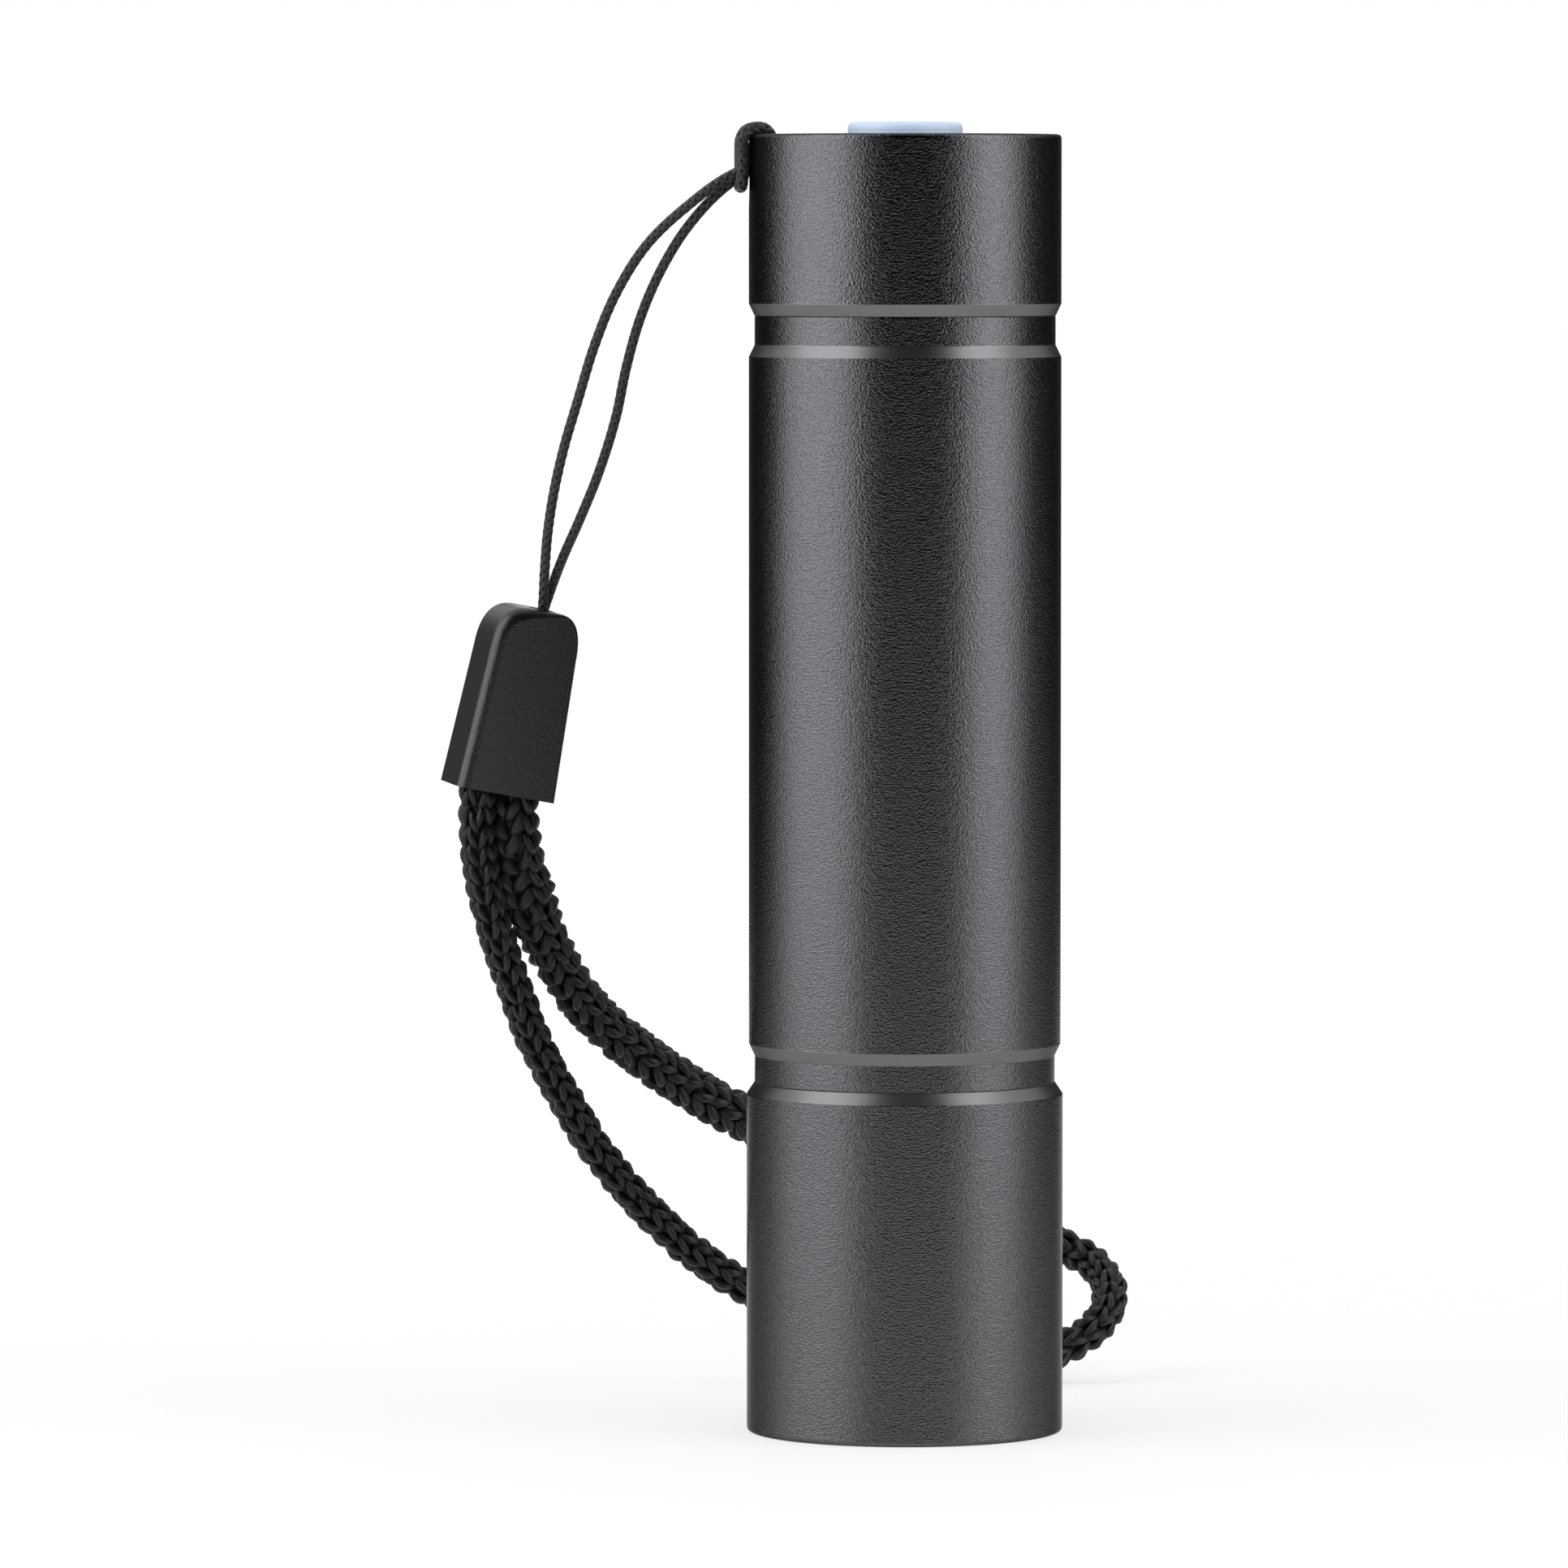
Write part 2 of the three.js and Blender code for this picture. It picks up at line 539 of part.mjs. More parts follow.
function barrelTube() {
  const headSeam = HEAD_LENGTH + SEAT_GAP;
  const tailSeam = neckTop - SEAT_GAP;
  const threadEnd = neckTop - REAR_THREAD_LENGTH;
  return turned([
    [frontBoreRadius, frontSpigotEnd],
    [frontSpigotRadius, frontSpigotEnd],
    ...sealGroove(frontSpigotRadius, HEAD_LENGTH - SEAL_GROOVE_SETBACK - SEAL_GROOVE_WIDTH),
    [frontSpigotRadius, headSeam],
    [neckRadius, headSeam],
    [neckRadius, gripBottom],
    [bodyRadius, gripBottom + EDGE_CHAMFER],
    [bodyRadius, gripTop - EDGE_CHAMFER],
    [neckRadius, gripTop],
    [neckRadius, tailSeam],
    [rearThreadRadius, tailSeam],
    [rearThreadRadius, threadEnd],
    [boreRadius, threadEnd],
    [boreRadius, cageShoulder],
    [frontBoreRadius, cageShoulder],
  ], SHELL_STEPS);
}

const barrel = new THREE.Group();
torch.add(barrel);
place(barrel, 'barrel_tube', barrelTube(), anodised);
place(barrel, 'head_o_ring', sealRing(
  sealMiddle(frontSpigotRadius), HEAD_LENGTH - SEAL_GROOVE_SETBACK - SEAL_GROOVE_WIDTH / 2,
), rubber);

// Battery cage: a front plate with three ribs, a rear plate notched round the rib ends, and three cell bays
const ribHalfAngle = THREE.MathUtils.degToRad(CAGE_RIB_HALF_ANGLE);
const ribInnerRadius = cageRadius - CAGE_RIB_DEPTH;
const ribAngles = Array.from({ length: CELL_COUNT }, (_, i) => (2 * Math.PI * i) / CELL_COUNT);

function cageRib(middle, bottom, top) {
  const outline = new THREE.Shape();
  outline.absarc(0, 0, cageRadius, middle - ribHalfAngle, middle + ribHalfAngle, false);
  outline.absarc(0, 0, ribInnerRadius, middle + ribHalfAngle, middle - ribHalfAngle, true);
  const options = { depth: top - bottom, bevelEnabled: false, curveSegments: OUTLINE_STEPS };
  return new THREE.ExtrudeGeometry(outline, options).translate(0, 0, bottom);
}

function cageFrame() {
  const plate = disc(cageRadius, cageBottom, bayBottom, INNER_STEPS);
  const ribs = ribAngles.map((middle) => cageRib(middle, cageBottom, cageTop));
  return joined(plate, ...ribs);
}

function cageRearPlate() {
  const notchRadius = ribInnerRadius - SLIDING_GAP;
  const notchHalfAngle = ribHalfAngle + SLIDING_GAP / ribInnerRadius;
  const outline = new THREE.Shape();
  ribAngles.forEach((middle) => {
    const next = middle + (2 * Math.PI) / CELL_COUNT;
    outline.absarc(0, 0, notchRadius, middle - notchHalfAngle, middle + notchHalfAngle, false);
    outline.absarc(0, 0, cageRadius, middle + notchHalfAngle, next - notchHalfAngle, false);
  });
  const options = { depth: CAGE_PLATE, bevelEnabled: false, curveSegments: WIDE_OUTLINE_STEPS };
  return new THREE.ExtrudeGeometry(outline, options).translate(0, 0, bayTop);
}

function cell(bottom) {
  const shoulder = bottom + CELL_LENGTH - CELL_NUB_HEIGHT;
  const nubRadius = CELL_NUB_DIAMETER / 2;
  return turned([
    [0, bottom],
    [cellRadius - CELL_EDGE, bottom],
    [cellRadius, bottom + CELL_EDGE],
    [cellRadius, shoulder - CELL_EDGE],
    [cellRadius - CELL_EDGE, shoulder],
    [nubRadius, shoulder],
    [nubRadius, bottom + CELL_LENGTH],
    [0, bottom + CELL_LENGTH],
  ], SMALL_STEPS);
}

// Each bay holds a spring, a cell and a contact. Odd bays are turned over, which puts the cells in series.
function cellBay(number, angle) {
  const bay = new THREE.Group();
  const turnedOver = number % 2 === 1;
  const springSeat = turnedOver ? bayTop : bayBottom;
  bay.position.set(cellCircle * Math.cos(angle), cellCircle * Math.sin(angle), springSeat);
  bay.rotation.x = turnedOver ? Math.PI : 0;
  const cellBottom = SEAT_GAP + CELL_SPRING_LENGTH + SEAT_GAP;
  const contactBottom = cellBottom + CELL_LENGTH + SEAT_GAP;
  const springName = `cell_spring_${number}`;
  place(bay, springName, coilSpring(
    springName, CELL_SPRING_WIRE, CELL_SPRING_TURNS, CELL_SPRING_BASE, CELL_SPRING_TIP,
    SEAT_GAP, SEAT_GAP + CELL_SPRING_LENGTH,
  ), springSteel);
  place(bay, `cell_${number}`, cell(cellBottom), cellWrap);
  place(bay, `cell_contact_${number}`, disc(
    CONTACT_DIAMETER / 2, contactBottom, contactBottom + CONTACT_THICKNESS, SMALL_STEPS,
  ), brass);
  return bay;
}

const cage = new THREE.Group();
torch.add(cage);
place(cage, 'cage_frame', cageFrame(), cagePlastic);
place(cage, 'cage_rear_plate', cageRearPlate(), cagePlastic);
ribAngles.forEach((ribAngle, i) => {
  cage.add(cellBay(i + 1, ribAngle + Math.PI / CELL_COUNT));
});
place(cage, 'cage_front_contact', disc(
  END_CONTACT_DIAMETER / 2, frontContactBottom, frontContactBottom + END_CONTACT_THICKNESS, SMALL_STEPS,
), brass);
place(cage, 'cage_rear_contact', disc(
  END_CONTACT_DIAMETER / 2, rearContactTop - END_CONTACT_THICKNESS, rearContactTop, SMALL_STEPS,
), brass);

// Tail cap: a male spigot in the barrel, a cavity for the switch, and the slanted lanyard hole in the rim
function tailCap() {
  const turnedCap = turned([
    [tailBoreRadius, tailSpigotEnd],
    [tailSpigotRadius, tailSpigotEnd],
    ...sealGroove(tailSpigotRadius, neckTop - SEAL_GROOVE_SETBACK - SEAL_GROOVE_WIDTH),
    [tailSpigotRadius, neckTop],
    [neckRadius, neckTop],
    [bodyRadius, neckTop + EDGE_CHAMFER],
    ...arc(bodyRadius - RIM_ROUNDING, tailFace - RIM_ROUNDING, RIM_ROUNDING, 0, 90, RIM_ARC_STEPS),
    [buttonRadius + SLIDING_GAP, tailFace],
    [buttonRadius + SLIDING_GAP, switchCeiling],
    [switchBoreRadius, switchCeiling],
    [switchBoreRadius, switchSeat],
    [tailBoreRadius, switchSeat],
  ], SHELL_STEPS);
  const slant = Math.atan2(LANYARD_HOLE_INSET, LANYARD_HOLE_DROP);
  const length = Math.hypot(LANYARD_HOLE_INSET, LANYARD_HOLE_DROP) + 2 * LANYARD_HOLE_OVERRUN;
  const drill = new THREE.CylinderGeometry(
    LANYARD_HOLE_DIAMETER / 2, LANYARD_HOLE_DIAMETER / 2, length, SMALL_STEPS,
  );
  drill.rotateX(Math.PI / 2).rotateY(slant);
  drill.translate(LANYARD_HOLE_INSET / 2 - bodyRadius, 0, tailFace - LANYARD_HOLE_DROP / 2);
  return cut(turnedCap, drill);
}

function button() {
  const top = tailFace + BUTTON_PROUD;
  return turned([
    [0, flangeBottom],
    [buttonRadius + BUTTON_FLANGE_WIDTH, flangeBottom],
    [buttonRadius + BUTTON_FLANGE_WIDTH, flangeTop],
    [buttonRadius, flangeTop],
    ...arc(buttonRadius - BUTTON_EDGE, top - BUTTON_EDGE, BUTTON_EDGE, 0, 90, RIM_ARC_STEPS),
    [0, top],
  ], INNER_STEPS);
}

function switchHousing() {
  const box = new THREE.BoxGeometry(HOUSING_WIDTH, HOUSING_WIDTH, HOUSING_HEIGHT);
  box.translate(0, 0, housingBottom + HOUSING_HEIGHT / 2);
  const wellRadius = PLUNGER_DIAMETER / 2 + RUNNING_GAP;
  return cut(box, disc(wellRadius, housingBottom + HOUSING_FLOOR, housingTop + HOUSING_FLOOR, SMALL_STEPS));
}

// The ring that screws the switch home has two notches for a pin spanner.
function switchRing() {
  const outer = tailBoreRadius - SLIDING_GAP;
  const bottom = switchRingTop - SWITCH_RING_THICKNESS;
  const plain = ring(outer - SWITCH_RING_WIDTH, outer, bottom, switchRingTop, INNER_STEPS);
  const notches = new THREE.BoxGeometry(2 * tailBoreRadius, SPANNER_NOTCH_WIDTH, 2 * SPANNER_NOTCH_DEPTH);
  return cut(plain, notches.translate(0, 0, bottom));
}

const tail = new THREE.Group();
torch.add(tail);
place(tail, 'tail_cap', tailCap(), anodised);
place(tail, 'tail_o_ring', sealRing(
  sealMiddle(tailSpigotRadius), neckTop - SEAL_GROOVE_SETBACK - SEAL_GROOVE_WIDTH / 2,
), rubber);
place(tail, 'button', button(), paleBlue);
place(tail, 'switch_plunger', disc(
  PLUNGER_DIAMETER / 2, plungerBottom, plungerTop, SMALL_STEPS,
), whitePlastic);
place(tail, 'switch_housing', switchHousing(), cagePlastic);
place(tail, 'switch_spring', coilSpring(
  'switch_spring', SWITCH_SPRING_WIRE, SWITCH_SPRING_TURNS, SWITCH_SPRING_DIAMETER, SWITCH_SPRING_DIAMETER,
  housingBottom + HOUSING_FLOOR + SEAT_GAP, plungerBottom - SEAT_GAP,
), springSteel);
place(tail, 'switch_board', disc(
  tailBoreRadius - SLIDING_GAP, switchBoardBottom, switchBoardBottom + SWITCH_BOARD_THICKNESS, INNER_STEPS,
), board);
place(tail, 'switch_ring', switchRing(), brass);
place(tail, 'tail_contact_spring', coilSpring(
  'tail_contact_spring', TAIL_SPRING_WIRE, TAIL_SPRING_TURNS, TAIL_SPRING_TIP, TAIL_SPRING_BASE,
  rearContactTop + SEAT_GAP, switchBoardBottom - SEAT_GAP,
), springSteel);

// Lanyard: the string, the clip that holds all four cord ends, and the wrist cord
// The clip's mouth is one long pocket that takes both legs of the wrist cord side by side.
function clipMouth() {
  const radius = WRIST_CORD_DIAMETER / 2 + SLIDING_GAP;
  const outline = new THREE.Shape();
  outline.absarc(CLIP_LEG_SPACING / 2, 0, radius, -Math.PI / 2, Math.PI / 2, false);
  outline.absarc(-CLIP_LEG_SPACING / 2, 0, radius, Math.PI / 2, (3 * Math.PI) / 2, false);
  const depth = CLIP_MOUTH_DEPTH + CLIP_EDGE;
  const options = { depth, bevelEnabled: false, curveSegments: WIDE_OUTLINE_STEPS };
  return new THREE.ExtrudeGeometry(outline, options).translate(0, 0, -CLIP_LENGTH / 2 - CLIP_EDGE);
}

function clipBody() {
  const foot = CLIP_FOOT_WIDTH / 2;
  const top = CLIP_TOP_WIDTH / 2;
  const outline = new THREE.Shape();
  outline.moveTo(-foot, 0);
  outline.lineTo(foot, 0);
  outline.lineTo(top, CLIP_LENGTH - CLIP_CORNER);
  outline.quadraticCurveTo(top, CLIP_LENGTH, top - CLIP_CORNER, CLIP_LENGTH);
  outline.lineTo(CLIP_CORNER - top, CLIP_LENGTH);
  outline.quadraticCurveTo(-top, CLIP_LENGTH, -top, CLIP_LENGTH - CLIP_CORNER);
  const block = new THREE.ExtrudeGeometry(outline, {
    depth: CLIP_THICKNESS - 2 * CLIP_EDGE,
    bevelThickness: CLIP_EDGE,
    bevelSize: CLIP_EDGE,
    bevelOffset: -CLIP_EDGE,
    bevelSegments: CLIP_EDGE_STEPS,
    curveSegments: OUTLINE_STEPS,
  });
  block.translate(0, -CLIP_LENGTH / 2, CLIP_EDGE - CLIP_THICKNESS / 2).rotateX(Math.PI / 2);
  const holeBottom = CLIP_LENGTH / 2 - CLIP_STRING_HOLE_DEPTH;
  const holeTop = CLIP_LENGTH / 2 + CLIP_EDGE;
  const stringHole = disc(CLIP_STRING_HOLE_DIAMETER / 2, holeBottom, holeTop, SMALL_STEPS);
  stringHole.translate(CLIP_STRING_HOLE_OFFSET, 0, 0);
  return cut(block, clipMouth(), stringHole);
}

const lanyard = new THREE.Group();
lanyard.position.z = tailFace;
torch.add(lanyard);
place(lanyard, 'lanyard_string', cord(STRING_ROUTE, STRING_DIAMETER), cordBlack);
const clip = new THREE.Group();
clip.position.set(...CLIP_CENTRE);
clip.rotation.set(...[CLIP_LEAN, CLIP_TILT, CLIP_ROLL].map(THREE.MathUtils.degToRad));
lanyard.add(clip);
place(clip, 'lanyard_clip', clipBody(), clipPlastic);
place(lanyard, 'wrist_cord', cord(WRIST_ROUTE, WRIST_CORD_DIAMETER), cordBlack);

export default torch;
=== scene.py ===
# %% [markdown]
# # A slim torch with a wrist lanyard
# The torch stands on its bezel with the tail button up. Its CAD frame already holds the solids and the
# joints, so this lesson only adds what the eye wants: turned metal with real edges, a string braided from
# eight strands, a wrist cord knitted stitch by stitch, and light that suits black anodised metal.

import json
import math

import bmesh
import bpy
import numpy as np
from mathutils import Matrix, Vector

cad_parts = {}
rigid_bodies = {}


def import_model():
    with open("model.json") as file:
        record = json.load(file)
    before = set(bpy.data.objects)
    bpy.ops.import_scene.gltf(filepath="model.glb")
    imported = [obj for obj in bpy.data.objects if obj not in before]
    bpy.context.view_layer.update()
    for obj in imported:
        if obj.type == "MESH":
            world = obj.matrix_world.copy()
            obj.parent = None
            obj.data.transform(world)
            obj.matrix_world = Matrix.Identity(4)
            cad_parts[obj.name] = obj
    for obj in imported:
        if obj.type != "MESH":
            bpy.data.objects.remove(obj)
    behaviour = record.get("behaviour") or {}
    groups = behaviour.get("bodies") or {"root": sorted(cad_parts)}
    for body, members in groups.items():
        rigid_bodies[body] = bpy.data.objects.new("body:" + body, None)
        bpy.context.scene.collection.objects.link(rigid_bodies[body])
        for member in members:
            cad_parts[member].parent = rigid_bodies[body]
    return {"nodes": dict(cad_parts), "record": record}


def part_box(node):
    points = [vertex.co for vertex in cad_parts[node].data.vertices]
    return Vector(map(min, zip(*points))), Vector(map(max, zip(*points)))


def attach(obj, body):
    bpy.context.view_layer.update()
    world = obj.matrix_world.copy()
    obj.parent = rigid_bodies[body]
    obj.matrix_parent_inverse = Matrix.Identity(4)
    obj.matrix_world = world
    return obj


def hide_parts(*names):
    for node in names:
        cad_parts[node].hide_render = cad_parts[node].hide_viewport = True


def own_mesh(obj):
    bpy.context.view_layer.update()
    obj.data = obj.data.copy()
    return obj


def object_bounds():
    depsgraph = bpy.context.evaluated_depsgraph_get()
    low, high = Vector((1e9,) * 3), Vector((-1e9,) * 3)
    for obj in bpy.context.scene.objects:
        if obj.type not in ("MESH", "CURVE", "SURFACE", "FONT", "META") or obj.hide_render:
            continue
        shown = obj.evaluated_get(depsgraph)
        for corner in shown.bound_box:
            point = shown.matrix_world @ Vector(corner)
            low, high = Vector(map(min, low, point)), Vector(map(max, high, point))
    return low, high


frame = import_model()
cad_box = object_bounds()
MM = 0.001
cad_size = [round(x / MM, 1) for x in cad_box[1] - cad_box[0]]
print("CAD nodes:", len(frame["nodes"]), "in a box of", cad_size, "mm")

# %% [markdown]
# ## Camera
# The torch's sides look almost parallel, which means a long lens from about a metre away. The tail's rim
# looks flat and the bezel's rim curves, so the lens was level with the tail and looked slightly down. A
# long focal length with no shift repeats that, and it keeps other views of the same scene honest.

# %% Place the camera
CAMERA_PLACE = Vector((-10.46, -913.85, 105.4)) * MM
CAMERA_PITCH = math.radians(3.085)
FOCAL_LENGTH, SENSOR_WIDTH = 242.7, 36.0
camera_data = bpy.data.cameras.new("camera")
camera_data.sensor_width = SENSOR_WIDTH
camera_data.lens = FOCAL_LENGTH
camera = bpy.data.objects.new("camera", camera_data)
camera.location = CAMERA_PLACE
camera.rotation_euler = (math.pi / 2 - CAMERA_PITCH, 0.0, 0.0)
bpy.context.scene.collection.objects.link(camera)
bpy.context.scene.camera = camera
print("camera", round(CAMERA_PLACE.length / MM), "mm from the bezel, lens", FOCAL_LENGTH, "mm")

# %% [markdown]
# ## The two cords' routes
# A cord is a line first. The string starts in the clip, runs up to the tail cap, goes through the slanted
# hole, round the back of its own legs and down again: a lark's head hitch. The wrist cord leaves the clip's
# foot, rests on the ground behind the torch and returns. Both routes are measured from the middle of the
# tail face.

# %% The string's route, in metres
STRING_ROUTE = [
    (-0.032, 0.0159, -0.0435), (-0.0317, 0.0157, -0.0415), (-0.0315, 0.0149, -0.0383),
    (-0.0312, 0.0133, -0.0349), (-0.0307, 0.0118, -0.0317), (-0.0298, 0.01, -0.0277),
    (-0.0284, 0.008, -0.023), (-0.0269, 0.006, -0.0182), (-0.0251, 0.0042, -0.0139),
    (-0.0223, 0.0023, -0.0095), (-0.0187, 0.0005, -0.0061), (-0.0157, -0.0004, -0.0039),
    (-0.0142, -0.0005, -0.0031), (-0.0129, -0.0005, -0.0024), (-0.0121, -0.0005, -0.0013),
    (-0.0116, -0.0006, -0.0002), (-0.0119, -0.0009, 0.0003), (-0.0124, -0.0012, 0.0005),
    (-0.013, -0.0014, 0.0005), (-0.0136, -0.0015, 0.0003), (-0.014, -0.0016, -0.0003),
    (-0.014, -0.0016, -0.0015), (-0.014, -0.0016, -0.0025), (-0.014, -0.0016, -0.0033),
    (-0.0141, -0.0012, -0.0041), (-0.0142, 0.0, -0.0045), (-0.0142, 0.0012, -0.0041),
    (-0.0142, 0.0016, -0.0033), (-0.0142, 0.0016, -0.0025), (-0.0142, 0.0016, -0.0015),
    (-0.0141, 0.0016, -0.0003), (-0.0137, 0.0015, 0.0003), (-0.013, 0.0014, 0.0005),
    (-0.0124, 0.0012, 0.0005), (-0.0119, 0.0009, 0.0003),
    (-0.0116, 0.0006, -0.0002), (-0.0121, 0.0005, -0.0014), (-0.0129, 0.0005, -0.0026),
    (-0.0141, 0.0005, -0.0035), (-0.0156, 0.0006, -0.0046), (-0.0188, 0.0017, -0.008),
    (-0.0211, 0.0032, -0.0117), (-0.0229, 0.005, -0.0158), (-0.0242, 0.0068, -0.0203),
    (-0.0251, 0.0087, -0.0245), (-0.0266, 0.0106, -0.0293), (-0.0284, 0.0129, -0.0337),
    (-0.03, 0.0149, -0.0373), (-0.0312, 0.0165, -0.0405), (-0.0317, 0.0169, -0.042),
    (-0.0321, 0.0171, -0.0437),
]
print("string route:", len(STRING_ROUTE), "points")

# %% The wrist cord's route, in metres
WRIST_ROUTE = [
    (-0.037, 0.0151, -0.0552), (-0.0374, 0.0154, -0.0575), (-0.0375, 0.0161, -0.0606),
    (-0.0371, 0.0175, -0.0652), (-0.036, 0.0195, -0.0703), (-0.0344, 0.022, -0.0754),
    (-0.0326, 0.0242, -0.0805), (-0.0302, 0.0265, -0.0854), (-0.0275, 0.0287, -0.0901),
    (-0.0245, 0.0305, -0.0941), (-0.0212, 0.032, -0.0977), (-0.0175, 0.0333, -0.101),
    (-0.0125, 0.0345, -0.1042), (-0.007, 0.0354, -0.1069), (-0.0015, 0.0359, -0.109),
    (0.004, 0.036, -0.1102), (0.0085, 0.036, -0.1104), (0.0122, 0.0361, -0.1099), (0.0152, 0.0367, -0.1089),
    (0.0175, 0.0382, -0.1076), (0.0188, 0.0403, -0.106), (0.0191, 0.0424, -0.1046),
    (0.0186, 0.0446, -0.1033), (0.0172, 0.0465, -0.1021), (0.0148, 0.0478, -0.1009),
    (0.011, 0.048, -0.0992), (0.006, 0.0472, -0.0972), (0.0, 0.0453, -0.0948), (-0.006, 0.043, -0.0922),
    (-0.011, 0.041, -0.0899), (-0.0155, 0.0384, -0.0875), (-0.0195, 0.0356, -0.0849),
    (-0.0235, 0.0324, -0.0818), (-0.0272, 0.0289, -0.0783), (-0.0302, 0.0252, -0.0738),
    (-0.0322, 0.0218, -0.069), (-0.0332, 0.0193, -0.0647), (-0.0337, 0.0176, -0.061),
    (-0.0338, 0.0168, -0.0579), (-0.0334, 0.0165, -0.0556),
]
print("wrist cord route:", len(WRIST_ROUTE), "points")

# %% [markdown]
# ## A form that follows a route
# Yarns are easiest to describe in the cord's own terms: so far along it, at this angle round it, so far
# from its middle. That needs a smooth line through the route's points and a pair of directions that travel
# along it. If those directions came from the curve's bends they would spin at every change of bend, so they
# are carried from point to point with as little turning as possible.

# %% A smooth line through a route
LINE_STEP = 0.15 * MM
SAMPLES_PER_SPAN = 24
tail_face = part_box("tail_cap")[1].z


def unit(vectors):
    """The same vectors with length one, for an array of any shape."""
    return vectors / np.linalg.norm(vectors, axis=-1, keepdims=True)


def smooth_line(route):
    """Points evenly spaced on a smooth curve through the route, in the row frame."""
    knots = np.array(route) + (0.0, 0.0, tail_face)
    spans = np.linalg.norm(np.diff(knots, axis=0), axis=1)
    headings = np.gradient(knots, np.concatenate([[0.0], np.cumsum(spans)]), axis=0)
    t = np.linspace(0, 1, SAMPLES_PER_SPAN, endpoint=False)[:, None]
    runs = [
        (2 * t**3 - 3 * t**2 + 1) * a + (t**3 - 2 * t**2 + t) * span * leaving
        + (3 * t**2 - 2 * t**3) * b + (t**3 - t**2) * span * arriving
        for a, b, span, leaving, arriving in zip(knots, knots[1:], spans, headings, headings[1:])
    ]
    fine = np.concatenate([*runs, knots[-1:]])
    along = np.concatenate([[0.0], np.cumsum(np.linalg.norm(np.diff(fine, axis=0), axis=1))])
    stops = np.linspace(0.0, along[-1], round(along[-1] / LINE_STEP) + 1)
    return np.column_stack([np.interp(stops, along, fine[:, axis]) for axis in range(3)])


# %% The cord form
class CordForm:
    """A cord's middle line, with directions carried along it that don't twist."""

    def __init__(self, route, first_side):
        self.line = smooth_line(route)
        steps = np.linalg.norm(np.diff(self.line, axis=0), axis=1)
        self.along = np.concatenate([[0.0], np.cumsum(steps)])
        self.length = self.along[-1]
        self.headings = unit(np.gradient(self.line, axis=0))
        side = np.array(first_side, float)
        sides = []
        for heading in self.headings:
            side = unit(side - heading * side.dot(heading))
            sides.append(side)
        self.sides = np.array(sides)
        self.tops = np.cross(self.headings, self.sides)

    def at(self, values, along):
        """Values kept along the line, read off at any distances along it."""
        return np.stack([np.interp(along, self.along, values[:, axis]) for axis in range(3)], axis=-1)

    def around(self, along, angle, reach):
        """Points so far along, at these angles round and so far from the middle, and the outward way."""
        sideways = self.at(self.sides, along) * np.cos(angle)[..., None]
        upwards = self.at(self.tops, along) * np.sin(angle)[..., None]
        out = unit(sideways + upwards)
        return self.at(self.line, along) + out * reach[..., None], out


string_form = CordForm(STRING_ROUTE, first_side=(1, 0, 0))
wrist_form = CordForm(WRIST_ROUTE, first_side=(0, -1, 0))
for cord_name, form in (("string", string_form), ("wrist cord", wrist_form)):
    print(cord_name, "is", round(form.length / MM, 1), "mm long")

# %% [markdown]
# ## Many yarns in one mesh
# A braid has a few long strands and a knit has over a thousand short legs, but each is the same thing: a
# closed tube with an oval section that changes along its length. NumPy makes all of them at once. Every
# vertex also keeps its place: its share of the way round its yarn, the millimetres along it and the yarn's
# number, so that a material can draw filaments later.

# %% Yarn tubes
def yarn_tubes(centres, outs, half_widths, half_heights, sides, press=None):
    """Vertices, faces and yarn places of closed oval tubes, from arrays that start with (tubes, rings).
    A function that moves the finished vertices can press the tubes together."""
    tubes, rings = centres.shape[:2]
    headings = unit(np.gradient(centres, axis=1))
    sideways = unit(np.cross(headings, outs))
    upwards = np.cross(sideways, headings)
    turns = np.linspace(0, 2 * np.pi, sides, endpoint=False) - np.pi / 2
    across = half_widths[..., None] * np.cos(turns)
    above = half_heights[..., None] * np.sin(turns)
    vertices = centres[:, :, None] + sideways[:, :, None] * across[..., None]
    vertices = vertices + upwards[:, :, None] * above[..., None]
    if press:
        vertices = press(vertices)
    run = np.linalg.norm(np.diff(centres, axis=1, prepend=centres[:, :1]), axis=2).cumsum(axis=1)
    places = np.zeros_like(vertices)
    places[..., 0] = np.arange(sides) / sides
    places[..., 1] = run[..., None] / MM
    places[..., 2] = np.arange(tubes)[:, None, None]
    ring = np.arange(sides)
    low = (np.arange(rings - 1)[:, None] * sides + ring).ravel()
    low_next = (np.arange(rings - 1)[:, None] * sides + (ring + 1) % sides).ravel()
    walls = np.stack([low, low_next, low_next + sides, low + sides], axis=1)
    faces = []
    for first in range(0, tubes * rings * sides, rings * sides):
        faces += (walls + first).tolist()
        faces.append((ring[::-1] + first).tolist())
        faces.append((ring + first + (rings - 1) * sides).tolist())
    return vertices.reshape(-1, 3), faces, places.reshape(-1, 3)


def joined(*parts):
    """Several sets of vertices, faces and yarn places as one."""
    vertices, faces, places = [], [], []
    for part_vertices, part_faces, part_places in parts:
        first = sum(len(v) for v in vertices)
        vertices.append(part_vertices)
        faces += [[i + first for i in face] for face in part_faces]
        places.append(part_places)
    return np.concatenate(vertices), faces, np.concatenate(places)


# %% New pieces
YARN_PLACE = "yarn_place"
pieces = []


def new_piece(name, vertices, faces, body, slot, *nodes):
    """A smooth mesh that rides on a body, takes its finish from a slot and stands for these CAD nodes."""
    mesh = bpy.data.meshes.new(name)
    mesh.from_pydata(vertices, [], faces)
    mesh.shade_smooth()
    made = bpy.data.objects.new(name, mesh)
    bpy.context.scene.collection.objects.link(made)
    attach(made, body)
    if nodes:
        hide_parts(*nodes)
    pieces.append((made, slot))
    return made


